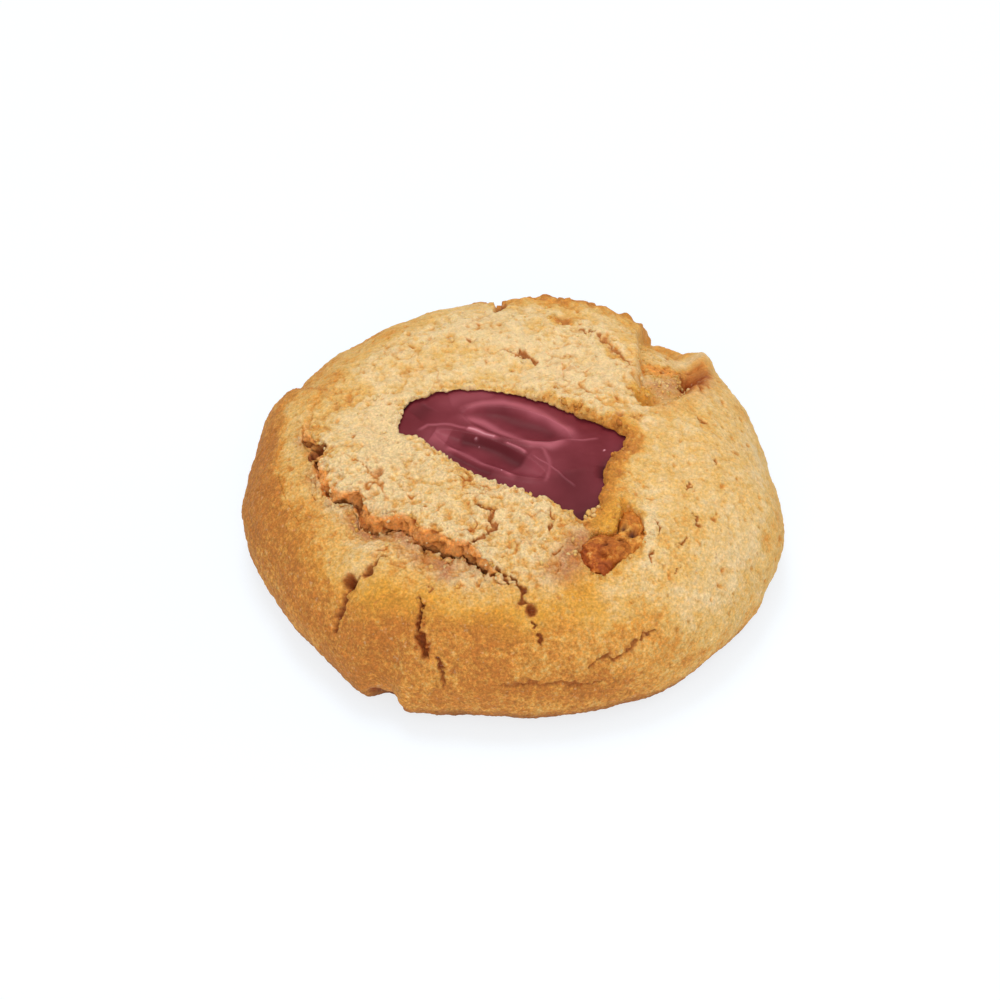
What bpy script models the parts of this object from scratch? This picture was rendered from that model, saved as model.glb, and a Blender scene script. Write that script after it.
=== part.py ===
"""Raspberry cookie: a thick, round, soft-baked cookie with a piece of raspberry chocolate in its middle.

The part is built in metres, +Z up, with the origin on the flat underside below the middle and the
front towards -Y. The sizes in this file are millimetres, turned into metres when a mesh is made.
Bearings are degrees round the middle, counter-clockwise from +X when seen from above.

The skin of the cookie is one closed sheet, made ring by ring: the pocket under the chocolate, the
lip round the opening, the cream-coloured plateau, its broken edge, the golden ring, the side and the
flat underside. A place on the skin is a point of a flat map. Its bearing is the bearing on the cookie.
Its distance from the centre is the plan radius as far as the shoulder and, beyond the shoulder, that
radius plus the distance down the side.
"""

import bmesh
import bpy
import numpy as np

MM = 0.001

# Whole cookie: plan radius by bearing, and the section as (share of that radius, height).
OUTLINE = (
    (0, 40.0), (12, 39.6), (30, 40.2), (45, 40.6), (60, 40.3), (90, 40.2), (120, 39.7), (148, 39.9),
    (157, 40.5), (180, 40.6), (210, 38.9), (226, 39.2), (232, 39.9), (236, 40.1), (240, 38.8), (243, 38.9),
    (246, 40.1), (251, 39.4), (258, 38.4), (270, 38.2), (300, 39.3), (315, 40.1), (330, 40.4), (348, 40.8),
)
DOME = ((0.0, 22.6), (0.3, 22.5), (0.5, 22.0), (0.65, 21.1), (0.78, 19.2), (0.86, 17.1), (0.93, 14.2))
SIDE = (
    (0.86, 17.1), (0.93, 14.2), (0.975, 11.0), (1.0, 7.6), (0.993, 4.8), (0.97, 2.3), (0.94, 0.8),
    (0.905, 0.0),
)
MEAN_RADIUS = 40.0

# Opening in the top: radius by bearing, width and extra height of its rounded lip by bearing.
OPENING = (
    (1, 16.5), (8, 15.2), (15, 13.3), (26, 11.2), (44, 10.1), (64, 9.2), (93, 9.6), (115, 11.7), (129, 13.7),
    (142, 15.7), (158, 17.4), (169, 17.3), (175, 16.6), (179, 14.2), (187, 12.1), (207, 10.2), (227, 9.1),
    (250, 9.6), (267, 10.2), (281, 11.9), (292, 13.7), (298, 16.4), (302, 19.2), (308, 18.4), (316, 17.4),
    (326, 15.7), (337, 14.7), (346, 14.9), (352, 16.3),
)
LIP_WIDTH = (
    (0, 2.2), (60, 2.2), (110, 1.6), (160, 1.0), (220, 0.8), (280, 0.8), (310, 1.4), (340, 2.2),
)
LIP_SWELL = (
    (0, 0.7), (60, 0.0), (110, -0.4), (150, -0.2), (200, 0.2), (260, 0.3), (290, 0.1), (310, 0.0),
    (340, 0.7),
)
SWELL_REACH = 9.0
LIP_TUCK = 0.35
LIP_FOOT_STEP = 0.12
LIP_FOOT_ROUGH = 0.35
# Raggedness of the opening, as (height of the noise, size of its lumps, seed).
OPENING_NOISE = ((0.3, 2.6, 11), (0.18, 1.2, 12))
OPENING_NOISE_RADIUS = 14.0

# Broken edge of the plateau: its radius by bearing, and how far the ring beyond it lies below.
LEDGE = (
    (0, 27.0), (60, 27.0), (120, 28.0), (160, 31.0), (174, 30.6), (181, 28.4), (186, 28.4), (195, 28.2),
    (201, 27.4), (205, 24.6), (209, 24.6), (214, 25.5), (218, 25.2), (222, 22.9), (227, 21.9), (234, 22.3),
    (240, 21.9), (245, 22.3), (251, 21.7), (256, 22.7), (260, 24.2), (264, 25.9), (268, 27.0), (320, 27.0),
)
STEP_DOWN = (
    (0, 0.0), (150, 0.0), (166, 0.3), (178, 1.0), (190, 1.3), (203, 1.9), (212, 2.5), (222, 2.8), (240, 2.8),
    (254, 2.5), (261, 1.5), (268, 0.2), (275, 0.0), (320, 0.0),
)
STEP_REACH = 10.5
BRINK_LIFT = 0.4
BRINK_INSET = 0.9
CRACK_UNDER_STEP = 0.9
# The drop from which the edge counts as wholly broken.
WHOLLY_BROKEN = 1.2
# Raggedness of the broken edge, as (height of the noise, size of its lumps, seed).
LEDGE_NOISE = ((0.3, 2.6, 21), (0.22, 1.4, 22))
LEDGE_NOISE_RADIUS = 26.0
# Section through the break, from the plateau outwards: distance beyond the ledge's radius, then the drop
# below the plateau or, from the crack on, how deep the ring sinks as a share of the crack's depth.
EDGE = (
    (-0.55, 0.06, None), (-0.1, 0.2, None), (0.12, 0.6, None), (0.2, 1.1, None), (0.25, None, 0.1),
    (0.3, None, 1.0), (0.7, None, 0.8), (1.0, None, 0.12), (1.6, None, 0.0),
)

# Raspberry chocolate: an oblong slab with rounded corners, lying askew in its pocket.
SLAB_BEARING = -29.0
SLAB_HALF = (18.4, 11.0)
SLAB_CENTRE = (0.5, -0.2)
SLAB_CORNER = 5.0
SLAB_BOTTOM = 15.3
SLAB_TOP = 21.5
SLAB_CROWN = 0.5
SLAB_EDGE = 0.8
GAP = 0.3
# Two boat-shaped hollows in its top: centre, bearing, half length, half width, depth.
HOLLOWS = (
    ((0.4, 3.3), -18.0, 8.8, 3.2, 0.9),
    ((-3.4, -2.7), -30.0, 10.0, 2.5, 0.8),
)
HOLLOW_RIM = (0.22, 0.65)
HOLLOW_NARROWING = 0.75
HOLLOW_NARROWEST = 0.02
RIM_FADE = 4.0
TOP_EDGE_ANGLES = (30.0, 60.0, 90.0)
BOTTOM_EDGE_ANGLES = (0.0, 45.0, 90.0)

# Browned chunk baked into the ring beside the opening: a long lump, notched on its inner side, with a
# dent on top. Its section along its bearing is (place, middle, half width).
CHUNK_CENTRE = (14.4, -19.1, 19.4)
CHUNK_ENDS = (-6.9, 5.9)
CHUNK_PLAN = (
    (-6.9, -1.2, 2.6), (-4.5, -0.9, 2.95), (-1.4, -0.6, 2.9), (0.0, -1.6, 2.3), (1.0, -1.8, 2.2),
    (2.6, -1.0, 2.5), (4.0, -0.2, 2.7), (5.3, 0.8, 2.75), (5.9, 1.2, 2.6),
)
CHUNK_HALF_HEIGHT = 2.8
CHUNK_BEARING = 48.0
CHUNK_TILT = 11.0
CHUNK_FULLNESS = 3
CHUNK_DENT = 0.4
CHUNK_DENT_PLACE = (0.2, 0.3, 0.95)
CHUNK_DENT_SIZE = 0.35
CHUNK_NOISE = ((0.45, 2.6, 51), (0.28, 1.3, 52))
CHUNK_SUBDIVISIONS = 4
SOCKET_GAP = 0.4

# Cracks as (depth, line of places on the skin's flat map, each with the crack's half width there).
CRACKS = (
    (0.7, ((-18.2, -21.3, 0.15), (-20.6, -23.6, 0.3), (-22.6, -24.0, 0.3), (-24.0, -24.3, 0.4))),
    (1.0, ((-24.4, -25.4, 0.25), (-25.3, -26.6, 0.5), (-26.5, -28.2, 0.5), (-28.4, -31.0, 0.2))),
    (1.6, ((-14.0, -28.4, 0.2), (-13.4, -30.5, 0.35), (-13.5, -33.0, 0.6), (-13.5, -35.8, 0.9),
           (-13.0, -37.0, 0.5), (-12.9, -37.3, 0.1))),
    (0.9, ((-11.9, -37.7, 0.2), (-11.2, -38.4, 0.4), (-10.6, -39.0, 0.25))),
    (0.6, ((-10.7, -39.9, 0.25), (-10.9, -41.0, 0.3), (-11.1, -41.8, 0.15))),
    (0.5, ((-12.0, -28.3, 0.3), (-11.5, -27.5, 0.3), (-12.0, -26.4, 0.15))),
    (0.8, ((-2.8, -25.6, 0.4), (-1.2, -26.7, 0.35), (0.5, -27.5, 0.25), (1.3, -28.8, 0.35),
           (1.6, -30.0, 0.35))),
    (0.7, ((3.0, -32.2, 0.2), (3.4, -32.8, 0.35), (3.5, -33.4, 0.2))),
    (0.9, ((3.6, -34.4, 0.25), (3.9, -35.0, 0.4), (3.9, -35.6, 0.2))),
    (0.5, ((21.4, -31.6, 0.2), (19.1, -33.8, 0.3), (17.1, -35.5, 0.3), (16.4, -36.6, 0.4),
           (13.0, -37.4, 0.25), (11.6, -39.2, 0.2))),
    (0.4, ((-2.0, -42.0, 0.2), (2.6, -41.7, 0.3), (5.7, -41.8, 0.25), (7.6, -41.3, 0.4),
           (11.5, -41.6, 0.3), (14.4, -40.8, 0.25))),
    (0.5, ((-5.6, -13.6, 0.2), (-3.1, -15.0, 0.4), (-2.8, -17.9, 0.4), (-3.9, -19.3, 0.2),
           (-5.6, -20.6, 0.3))),
    (0.5, ((0.8, 19.0, 0.3), (2.0, 17.3, 0.4), (3.0, 16.0, 0.3))),
    (0.3, ((13.4, 23.0, 0.3), (14.4, 21.0, 0.45), (15.6, 19.2, 0.4), (17.8, 17.0, 0.3))),
    (2.0, ((-2.4, 39.0, 1.6), (-2.3, 34.0, 1.2), (-2.1, 30.0, 0.4))),
)
# How far noise bends the cracks, as (distance, size of the lumps, seed).
CRACK_BEND = ((0.5, 2.2, 43), (0.4, 0.9, 45), (0.25, 0.5, 47))
# How far noise widens and narrows the cracks: share of the width, size of the lumps, seed.
CRACK_WAVER = (0.9, 1.1, 46)
CRACK_WAVER_LIMITS = (0.25, 2.0)
# How steep the sides of a crack are: the higher, the steeper.
CRACK_SHARPNESS = 3
# Flaps whose edge stands up along a line, to the left of the line's direction: height, how far the
# flap reaches back, and the line.
FLAPS = (
    (0.65, 8.0, ((-25.0, 10.0), (-28.5, 12.6), (-31.8, 15.5), (-34.5, 18.2), (-38.5, 22.0))),
)
# Share of a flap's line over which its edge rises to the full height.
FLAP_TAPER = 0.4
# Pits, and bumps, as (place on the map, radius, depth). A bump has a depth below 0.
PITS = (
    ((-29.0, -0.6), 1.2, 1.5),
    ((-24.6, 9.7), 0.6, 0.6),
    ((-19.6, -7.1), 0.8, 0.7),
    ((-12.9, -19.6), 0.8, 0.5),
    ((7.8, 27.0), 1.3, 0.7),
    ((13.9, 22.2), 0.8, 0.7),
    ((15.8, 4.2), 0.6, 0.7),
    ((18.2, 4.0), 0.6, 0.6),
    ((-24.0, -24.3), 1.05, 2.2),
    ((-20.9, -23.7), 0.8, 0.9),
    ((2.5, -31.0), 0.75, 1.1),
    ((-25.6, -43.4), 2.0, 1.1),
    ((-23.0, -45.2), 2.0, 2.4),
    ((20.3, -16.4), 1.6, -0.5),
    ((29.6, 25.8), 2.4, -1.3),
    ((7.6, 35.7), 0.95, -0.9),
    ((12.1, 34.4), 0.85, -0.7),
    ((17.5, 32.0), 1.0, -0.7),
)
# How steep the sides of a pit or a bump are: the higher, the steeper.
PIT_SHARPNESS = 3
# Hollow at the back, on the right, where the edge has crumbled away: its outline on the map, its depth,
# the width of its wall, and the pits and lumps in it, with a deeper cavity under its right side.
CRATER = (
    (17.2, 9.4), (18.9, 6.6), (21.5, 6.8), (24.9, 9.2), (27.3, 11.8), (29.2, 16.1), (30.0, 21.0),
    (29.4, 26.0), (28.6, 33.0), (24.0, 38.0), (20.5, 33.0), (18.8, 27.0), (18.3, 19.4), (18.2, 14.8),
)
CRATER_DEPTH = 2.6
CRATER_WALL = 1.8
CRATER_NOISE = ((0.5, 2.4, 42),)
CRATER_PITS = (
    ((27.5, 16.2), 1.4, 2.3),
    ((28.1, 19.0), 1.4, 2.0),
    ((19.7, 11.6), 1.5, -1.5),
    ((22.5, 14.0), 1.6, -0.5),
)
# Raised, crumbly ridge along the back edge: its middle bearing and half width, how steep its ends are,
# its place along the skin and half width, its height, and how crumbly it is: even share of the height,
# uneven share, size of the lumps and seed.
RIDGE_BEARING = (78.0, 19.0)
RIDGE_END = 1.4
RIDGE_PLACE = (34.0, 4.5)
RIDGE_HEIGHT = 1.0
RIDGE_CRUMBS = (1.05, 0.75, 1.9, 34)
# Unevenness of the whole skin, as (height, size of the lumps, seed).
SWELLS = ((0.45, 12.0, 31), (0.28, 5.5, 32))
# Lumps: their height on the ring and on the crumbly top, their size and seed. The top is crumbly up to
# a radius, and the crumbliness fades over a width.
LUMPS = (0.08, 0.22, 2.4, 33)
CRUMBLY_TO = (25.0, 8.0)
# Rings in each stretch of the skin, before the fineness.
RINGS = {
    "pocket floor": 6, "pocket wall": 5, "under the lip": 3, "lip": 7, "plateau": 22,
    "each row of the break": 2, "golden ring": 14, "side": 30, "underside": 8,
}

COLUMNS = 400
COOKIE_TRIANGLES = 9400
SLAB_COLUMNS = 160
SLAB_RINGS = 34
SLAB_TRIANGLES = 1700
# Points this near the underside of a piece are put exactly on it.
LEVEL_REACH = 0.05
COOKIE_COLOUR = (0.72, 0.46, 0.18)
CHOCOLATE_COLOUR = (0.15, 0.018, 0.024)
CHUNK_COLOUR = (0.45, 0.13, 0.025)


def ramp(share):
    """0 below 0, 1 above 1 and a smooth rise between."""
    share = np.clip(share, 0.0, 1.0)
    return share * share * (3.0 - 2.0 * share)


def along(stations, places):
    """Smooth curve through (place, value) stations, which never runs beyond two neighbours' values."""
    known = np.array(stations, float)
    x, y = known[:, 0], known[:, 1]
    slope = np.diff(y) / np.diff(x)
    same_way = slope[:-1] * slope[1:] > 0.0
    total = np.where(same_way, slope[:-1] + slope[1:], 1.0)
    turn = np.where(same_way, 2.0 * slope[:-1] * slope[1:] / total, 0.0)
    tangent = np.concatenate((slope[:1], turn, slope[-1:]))
    places = np.clip(places, x[0], x[-1])
    left = np.clip(np.searchsorted(x, places, side="right") - 1, 0, len(x) - 2)
    width = x[left + 1] - x[left]
    share = (places - x[left]) / width
    square = share * share
    cube = square * share
    return (
        y[left] * (2.0 * cube - 3.0 * square + 1.0)
        + y[left + 1] * (3.0 * square - 2.0 * cube)
        + tangent[left] * width * (cube - 2.0 * square + share)
        + tangent[left + 1] * width * (cube - square)
    )


def around(stations, bearings):
    """The same for (bearing, value) stations that close on themselves."""
    turn = [(place - 360.0, value) for place, value in stations[-3:]]
    back = [(place + 360.0, value) for place, value in stations[:3]]
    return along((*turn, *stations, *back), np.mod(bearings, 360.0))


DIRECTIONS = np.random.default_rng(5).normal(size=(256, 3))
DIRECTIONS /= np.linalg.norm(DIRECTIONS, axis=1)[:, None]


def noise(points, size, seed):
    """Smooth noise, mostly between -1 and 1, with lumps about size across."""
    cell = np.floor(points / size).astype(np.int64)
    part = points / size - cell
    weight = part**3 * (part * (part * 6.0 - 15.0) + 10.0)
    total = np.zeros(points.shape[:-1])
    for corner in np.ndindex(2, 2, 2):
        spot = cell + np.array(corner)
        mixed = spot[..., 0] * 73856093 ^ spot[..., 1] * 19349663 ^ spot[..., 2] * 83492791
        mixed = (((mixed ^ seed * 2971215) & 0xFFFFFFFF) * 1274126177) & 0xFFFFFFFF
        slope = (DIRECTIONS[(mixed >> 15) & 255] * (part - corner)).sum(axis=-1)
        share = np.where(np.array(corner, bool), weight, 1.0 - weight).prod(axis=-1)
        total += slope * share
    return total * 1.8


def summed_noise(points, layers):
    """Layers of noise added up, each given as (height, size of the lumps, seed)."""
    return sum(height * noise(points, size, seed) for height, size, seed in layers)


def ragged(bearings, radius, layers):
    """Layers of noise round a circle, so that they close on themselves."""
    turn = np.radians(bearings)
    circle = np.stack((np.cos(turn), np.sin(turn), np.zeros_like(turn)), axis=-1)
    return summed_noise(radius * circle, layers)


def turned(x, y, bearing):
    """The coordinates along and across a line at this bearing."""
    turn = np.radians(bearing)
    return x * np.cos(turn) + y * np.sin(turn), y * np.cos(turn) - x * np.sin(turn)


def slab_share(x, y, grown=0.0):
    """0 at the middle of the slab's plan and 1 at its edge."""
    u, w = turned(x, y, SLAB_BEARING)
    u = np.abs(u - SLAB_CENTRE[0]) / (SLAB_HALF[0] + grown)
    w = np.abs(w - SLAB_CENTRE[1]) / (SLAB_HALF[1] + grown)
    return (u**SLAB_CORNER + w**SLAB_CORNER) ** (1.0 / SLAB_CORNER)


def slab_radius(bearings, grown=0.0):
    """Distance from the middle of the cookie to the slab's edge, found by halving."""
    turn = np.radians(bearings)
    low = np.zeros_like(turn)
    high = np.full_like(turn, 2.0 * SLAB_HALF[0])
    for _ in range(40):
        middle = (low + high) / 2.0
        inside = slab_share(middle * np.cos(turn), middle * np.sin(turn), grown) < 1.0
        low = np.where(inside, middle, low)
        high = np.where(inside, high, middle)
    return low


def slab_top(x, y):
    """Height of the chocolate's top face: a low crown with the two hollows and their raised rims."""
    height = SLAB_TOP - SLAB_CROWN * slab_share(x, y) ** 2
    for centre, bearing, half_length, half_width, depth in HOLLOWS:
        u, w = turned(x - centre[0], y - centre[1], bearing)
        taper = np.clip(1.0 - (u / half_length) ** 2, 0.0, 1.0)
        width = half_width * np.maximum(taper, HOLLOW_NARROWEST) ** HOLLOW_NARROWING
        share = np.abs(w) / width
        bowl = np.where(share < 1.0, (1.0 - share**2) * taper, 0.0)
        rim_height, rim_width = HOLLOW_RIM
        rim = rim_height * np.exp(-(((share - 1.0) * width / rim_width) ** 2)) * ramp(taper * RIM_FADE)
        height = height - depth * bowl + rim
    return height


def near_path(places, path):
    """Distance of each place from a line of points, and how far along it the nearest point lies."""
    path = np.array(path, float)
    lengths = np.linalg.norm(np.diff(path, axis=0), axis=1)
    before = np.concatenate(([0.0], np.cumsum(lengths)))
    best = np.full(places.shape[:-1], np.inf)
    share = np.zeros(places.shape[:-1])
    for start, end, length, done in zip(path[:-1], path[1:], lengths, before):
        way = (end - start) / length
        step = np.clip((places - start) @ way, 0.0, length)
        gap = np.linalg.norm(places - start - step[..., None] * way, axis=-1)
        closer = gap < best
        best = np.where(closer, gap, best)
        share = np.where(closer, (done + step) / before[-1], share)
    return best, share


def within(places, outline):
    """Distance of each place inside a closed outline, and below 0 outside it."""
    closed = (*outline, outline[0])
    gap, _ = near_path(places, closed)
    x, y = places[..., 0], places[..., 1]
    inside = np.zeros(x.shape, bool)
    for (x0, y0), (x1, y1) in zip(closed, closed[1:]):
        crosses = (y0 > y) != (y1 > y)
        inside ^= crosses & (x < x0 + (y - y0) * (x1 - x0) / (y1 - y0 if y1 != y0 else 1.0))
    return np.where(inside, gap, -gap)


def left_of(places, path):
    """Whether each place lies to the left of a line of points, judged by the nearest stretch."""
    path = np.array(path, float)
    best = np.full(places.shape[:-1], np.inf)
    left = np.zeros(places.shape[:-1], bool)
    for start, end in zip(path[:-1], path[1:]):
        way = end - start
        offset = places - start
        share = np.clip(offset @ way / (way @ way), 0.0, 1.0)
        gap = np.linalg.norm(offset - share[..., None] * way, axis=-1)
        closer = gap < best
        best = np.where(closer, gap, best)
        left = np.where(closer, way[0] * offset[..., 1] - way[1] * offset[..., 0] > 0.0, left)
    return left


def ledge_radius(bearings):
    """Radius of the plateau's broken edge."""
    return around(LEDGE, bearings) + ragged(bearings, LEDGE_NOISE_RADIUS, LEDGE_NOISE)


def section(bearings, fineness):
    """Radius, height and distance along the skin for each ring, and how rough each ring is.

    Every column of the four arrays belongs to one bearing, and every row to one ring.
    """
    rings = []

    def ring(*values):
        rings.append([np.broadcast_to(value, bearings.shape) for value in values])

    def count(stretch):
        return max(2, round(RINGS[stretch] * fineness))

    outline = around(OUTLINE, bearings)
    opening = around(OPENING, bearings) + ragged(bearings, OPENING_NOISE_RADIUS, OPENING_NOISE)
    pocket = slab_radius(bearings, GAP)
    opening = np.minimum(opening, pocket - LIP_TUCK)
    ledge = ledge_radius(bearings)
    step_down = around(STEP_DOWN, bearings)
    broken = ramp(step_down / WHOLLY_BROKEN)
    lip_width = around(LIP_WIDTH, bearings)
    swell = around(LIP_SWELL, bearings)

    def plateau(radius):
        near_lip = 1.0 - ramp((radius - opening - lip_width) / SWELL_REACH)
        near_brink = ramp((radius - ledge) / STEP_REACH + 1.0) * broken
        return along(DOME, radius / outline) + swell * near_lip + BRINK_LIFT * near_brink

    def golden(radius):
        near_ledge = 1.0 - ramp((radius - ledge) / STEP_REACH)
        return along(DOME, radius / outline) - step_down * near_ledge

    # Pocket that holds the chocolate, open upwards inside the lip.
    turn = np.radians(bearings)
    tuck = np.minimum(opening + LIP_TUCK, pocket)
    lip_foot = slab_top(tuck * np.cos(turn), tuck * np.sin(turn)) + GAP
    for share in np.linspace(0.0, 1.0, count("pocket floor")):
        ring(share * pocket, SLAB_BOTTOM - GAP, share * pocket, 0.0)
    for share in np.linspace(0.0, 1.0, count("pocket wall"))[1:]:
        ring(pocket, SLAB_BOTTOM - GAP + share * (lip_foot - SLAB_BOTTOM + GAP), pocket, 0.0)
    for share in np.linspace(0.0, 1.0, count("under the lip"))[1:]:
        ring(pocket + share * (tuck - pocket), lip_foot, tuck, 0.0)

    # Lip: a quarter round from the foot up to the plateau.
    crest = opening + lip_width
    rise = plateau(crest) - lip_foot
    for share in np.linspace(0.0, 1.0, count("lip")):
        angle = share * np.pi / 2.0
        radius = opening + lip_width * (1.0 - np.cos(angle))
        height = lip_foot + LIP_FOOT_STEP + (rise - LIP_FOOT_STEP) * np.sin(angle)
        ring(radius, height, radius, LIP_FOOT_ROUGH + (1.0 - LIP_FOOT_ROUGH) * share)

    # Plateau out to its broken edge.
    brink = ledge - BRINK_INSET
    for share in np.linspace(0.0, 1.0, count("plateau"))[1:]:
        radius = crest + share * (brink - crest)
        ring(radius, plateau(radius), radius, 1.0)

    # Broken edge: rounded brink, steep face, crack below it and the start of the ring.
    rows = []
    for offset, drop, sink in EDGE:
        radius = ledge + offset
        if drop is not None:
            smooth = plateau(radius)
            cracked = plateau(ledge) - drop
        else:
            smooth = golden(radius)
            cracked = golden(ledge) - sink * CRACK_UNDER_STEP
        rows.append((radius, smooth + broken * (cracked - smooth)))
    for (radius, height), (next_radius, next_height) in zip(rows, rows[1:]):
        for share in np.linspace(0.0, 1.0, count("each row of the break"))[:-1]:
            reached_radius = radius + share * (next_radius - radius)
            ring(reached_radius, height + share * (next_height - height), reached_radius, 1.0)

    # Golden ring out to the shoulder.
    inner = ledge + EDGE[-1][0]
    shoulder = DOME[-2][0] * outline
    for share in np.linspace(0.0, 1.0, count("golden ring")):
        radius = inner + share * (shoulder - inner)
        ring(radius, golden(radius), radius, 1.0)

    # Side, from the shoulder round to the foot.
    side = np.array(SIDE)
    steps = np.linalg.norm(np.diff(side * (MEAN_RADIUS, 1.0), axis=0), axis=1)
    reached = np.concatenate(([0.0], np.cumsum(steps)))
    for distance in np.linspace(0.0, reached[-1], count("side"))[1:]:
        share = along(np.stack((reached, side[:, 0]), axis=1), distance)
        height = along(np.stack((reached, side[:, 1]), axis=1), distance)
        rough = 1.0 - ramp((distance - reached[-2]) / (reached[-1] - reached[-2]))
        ring(share * outline, height, shoulder + distance, rough)

    # Flat underside.
    foot = side[-1][0] * outline
    for share in np.linspace(1.0, 0.0, count("underside"))[1:]:
        ring(share * foot, 0.0, shoulder + reached[-1], 0.0)
    return [np.array(rows) for rows in zip(*rings)]


def crack_share(points, places, path):
    """1 at the bottom of a crack, falling to 0 at its sides."""
    bend = np.stack([summed_noise(points + shift, CRACK_BEND) for shift in (0.0, 50.0)], axis=-1)
    gap, share = near_path(places + bend, [place[:2] for place in path])
    widths = np.array([place[2] for place in path])
    lengths = np.linalg.norm(np.diff([place[:2] for place in path], axis=0), axis=1)
    reached = np.concatenate(([0.0], np.cumsum(lengths))) / lengths.sum()
    waver, size, seed = CRACK_WAVER
    wavering = np.clip(1.0 + waver * noise(points, size, seed), *CRACK_WAVER_LIMITS)
    width = np.interp(share, reached, widths) * wavering
    return np.exp(-((gap / width) ** CRACK_SHARPNESS))


def relief(points, places, rough):
    """How far each point of the skin stands out from the smooth form."""
    plan = np.linalg.norm(places, axis=-1)
    bearing = np.degrees(np.arctan2(places[..., 1], places[..., 0]))
    low, high, size, seed = LUMPS
    crumbly = 1.0 - ramp((plan - CRUMBLY_TO[0]) / CRUMBLY_TO[1])
    rise = summed_noise(points, SWELLS) + (low + (high - low) * crumbly) * noise(points, size, seed)

    even, uneven, crumb_size, crumb_seed = RIDGE_CRUMBS
    ridge = ramp(RIDGE_END * (1.0 - np.abs(bearing - RIDGE_BEARING[0]) / RIDGE_BEARING[1]))
    ridge = ridge * ramp(1.0 - np.abs(plan - RIDGE_PLACE[0]) / RIDGE_PLACE[1])
    rise = rise + RIDGE_HEIGHT * ridge * (even + uneven * noise(points, crumb_size, crumb_seed))

    for depth, path in CRACKS:
        rise = rise - depth * crack_share(points, places, path)
    for height, reach, line in FLAPS:
        gap, share = near_path(places, line)
        flap = np.where(left_of(places, line), np.exp(-((gap / reach) ** 2)), 0.0)
        rise = rise + height * flap * ramp(share / FLAP_TAPER)
    inside = within(places, CRATER) + summed_noise(points, CRATER_NOISE)
    rise = rise - CRATER_DEPTH * ramp(inside / CRATER_WALL)
    for place, radius, depth in (*PITS, *CRATER_PITS):
        gap = np.linalg.norm(places - np.array(place), axis=-1)
        rise = rise - depth * np.exp(-((gap / radius) ** PIT_SHARPNESS))
    return rise * rough


def skin(columns, fineness):
    """Points of the cookie's skin as rings by columns, in millimetres."""
    bearings = np.arange(columns) * 360.0 / columns
    radius, height, distance, rough = section(bearings, fineness)
    turn = np.radians(bearings)
    points = np.stack((radius * np.cos(turn), radius * np.sin(turn), height), axis=-1)
    places = np.stack((distance * np.cos(turn), distance * np.sin(turn)), axis=-1)
    onward = np.gradient(points, axis=0)
    sideways = np.roll(points, -1, axis=1) - np.roll(points, 1, axis=1)
    outward = np.cross(sideways, -onward)
    outward /= np.maximum(np.linalg.norm(outward, axis=-1, keepdims=True), 1e-9)
    return points + outward * relief(points, places, rough)[..., None]


def ring_faces(rings, columns):
    """Faces of a closed sheet whose first and last rings are single points."""
    first = np.arange(columns)
    following = (first + 1) % columns
    faces = [(0, 1 + a, 1 + b) for a, b in zip(first, following)]
    for row in range(rings - 3):
        low = 1 + row * columns
        high = low + columns
        faces += [(low + a, high + a, high + b, low + b) for a, b in zip(first, following)]
    low = 1 + (rings - 3) * columns
    last = low + columns
    faces += [(low + a, last, low + b) for a, b in zip(first, following)]
    return faces


def solid(name, points, faces, colour, roughness):
    """A named mesh object with its own material, from points in millimetres."""
    mesh = bpy.data.meshes.new(name)
    mesh.from_pydata((np.asarray(points) * MM).tolist(), [], [tuple(map(int, face)) for face in faces])
    builder = bmesh.new()
    builder.from_mesh(mesh)
    bmesh.ops.recalc_face_normals(builder, faces=builder.faces)
    builder.to_mesh(mesh)
    builder.free()
    material = bpy.data.materials.new(name)
    material.use_nodes = True
    surface = material.node_tree.nodes["Principled BSDF"]
    surface.inputs["Base Color"].default_value = (*colour, 1.0)
    surface.inputs["Roughness"].default_value = roughness
    mesh.materials.append(material)
    mesh.shade_smooth()
    obj = bpy.data.objects.new(name, mesh)
    bpy.context.scene.collection.objects.link(obj)
    return obj


def apply_modifiers(obj):
    """Replaces the object's mesh by what its modifiers make of it."""
    graph = bpy.context.evaluated_depsgraph_get()
    made = bpy.data.meshes.new_from_object(obj.evaluated_get(graph))
    obj.modifiers.clear()
    obj.data = made
    made.shade_smooth()


def thin_out(obj, triangles):
    """Collapses the mesh to about this many triangles, most of them left where it bends."""
    obj.data.calc_loop_triangles()
    collapse = obj.modifiers.new("fewer triangles", "DECIMATE")
    collapse.ratio = triangles / len(obj.data.loop_triangles)
    collapse.use_collapse_triangulate = True
    apply_modifiers(obj)


def level(obj, height):
    """Puts every point that lies near this height exactly on it."""
    for vertex in obj.data.vertices:
        if abs(vertex.co.z - height * MM) < LEVEL_REACH * MM:
            vertex.co.z = height * MM


def closed_points(rows):
    """Rings by columns as one list, whose first and last rings are single points on the axis."""
    first = (0.0, 0.0, rows[0, 0, 2])
    last = (0.0, 0.0, rows[-1, 0, 2])
    return np.concatenate(([first], rows[1:-1].reshape(-1, 3), [last]))


def make_cookie():
    rows = skin(COLUMNS, 1.0)
    cookie = solid("cookie", closed_points(rows), ring_faces(len(rows), COLUMNS), COOKIE_COLOUR, 0.85)
    thin_out(cookie, COOKIE_TRIANGLES)
    level(cookie, 0.0)
    return cookie


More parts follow.
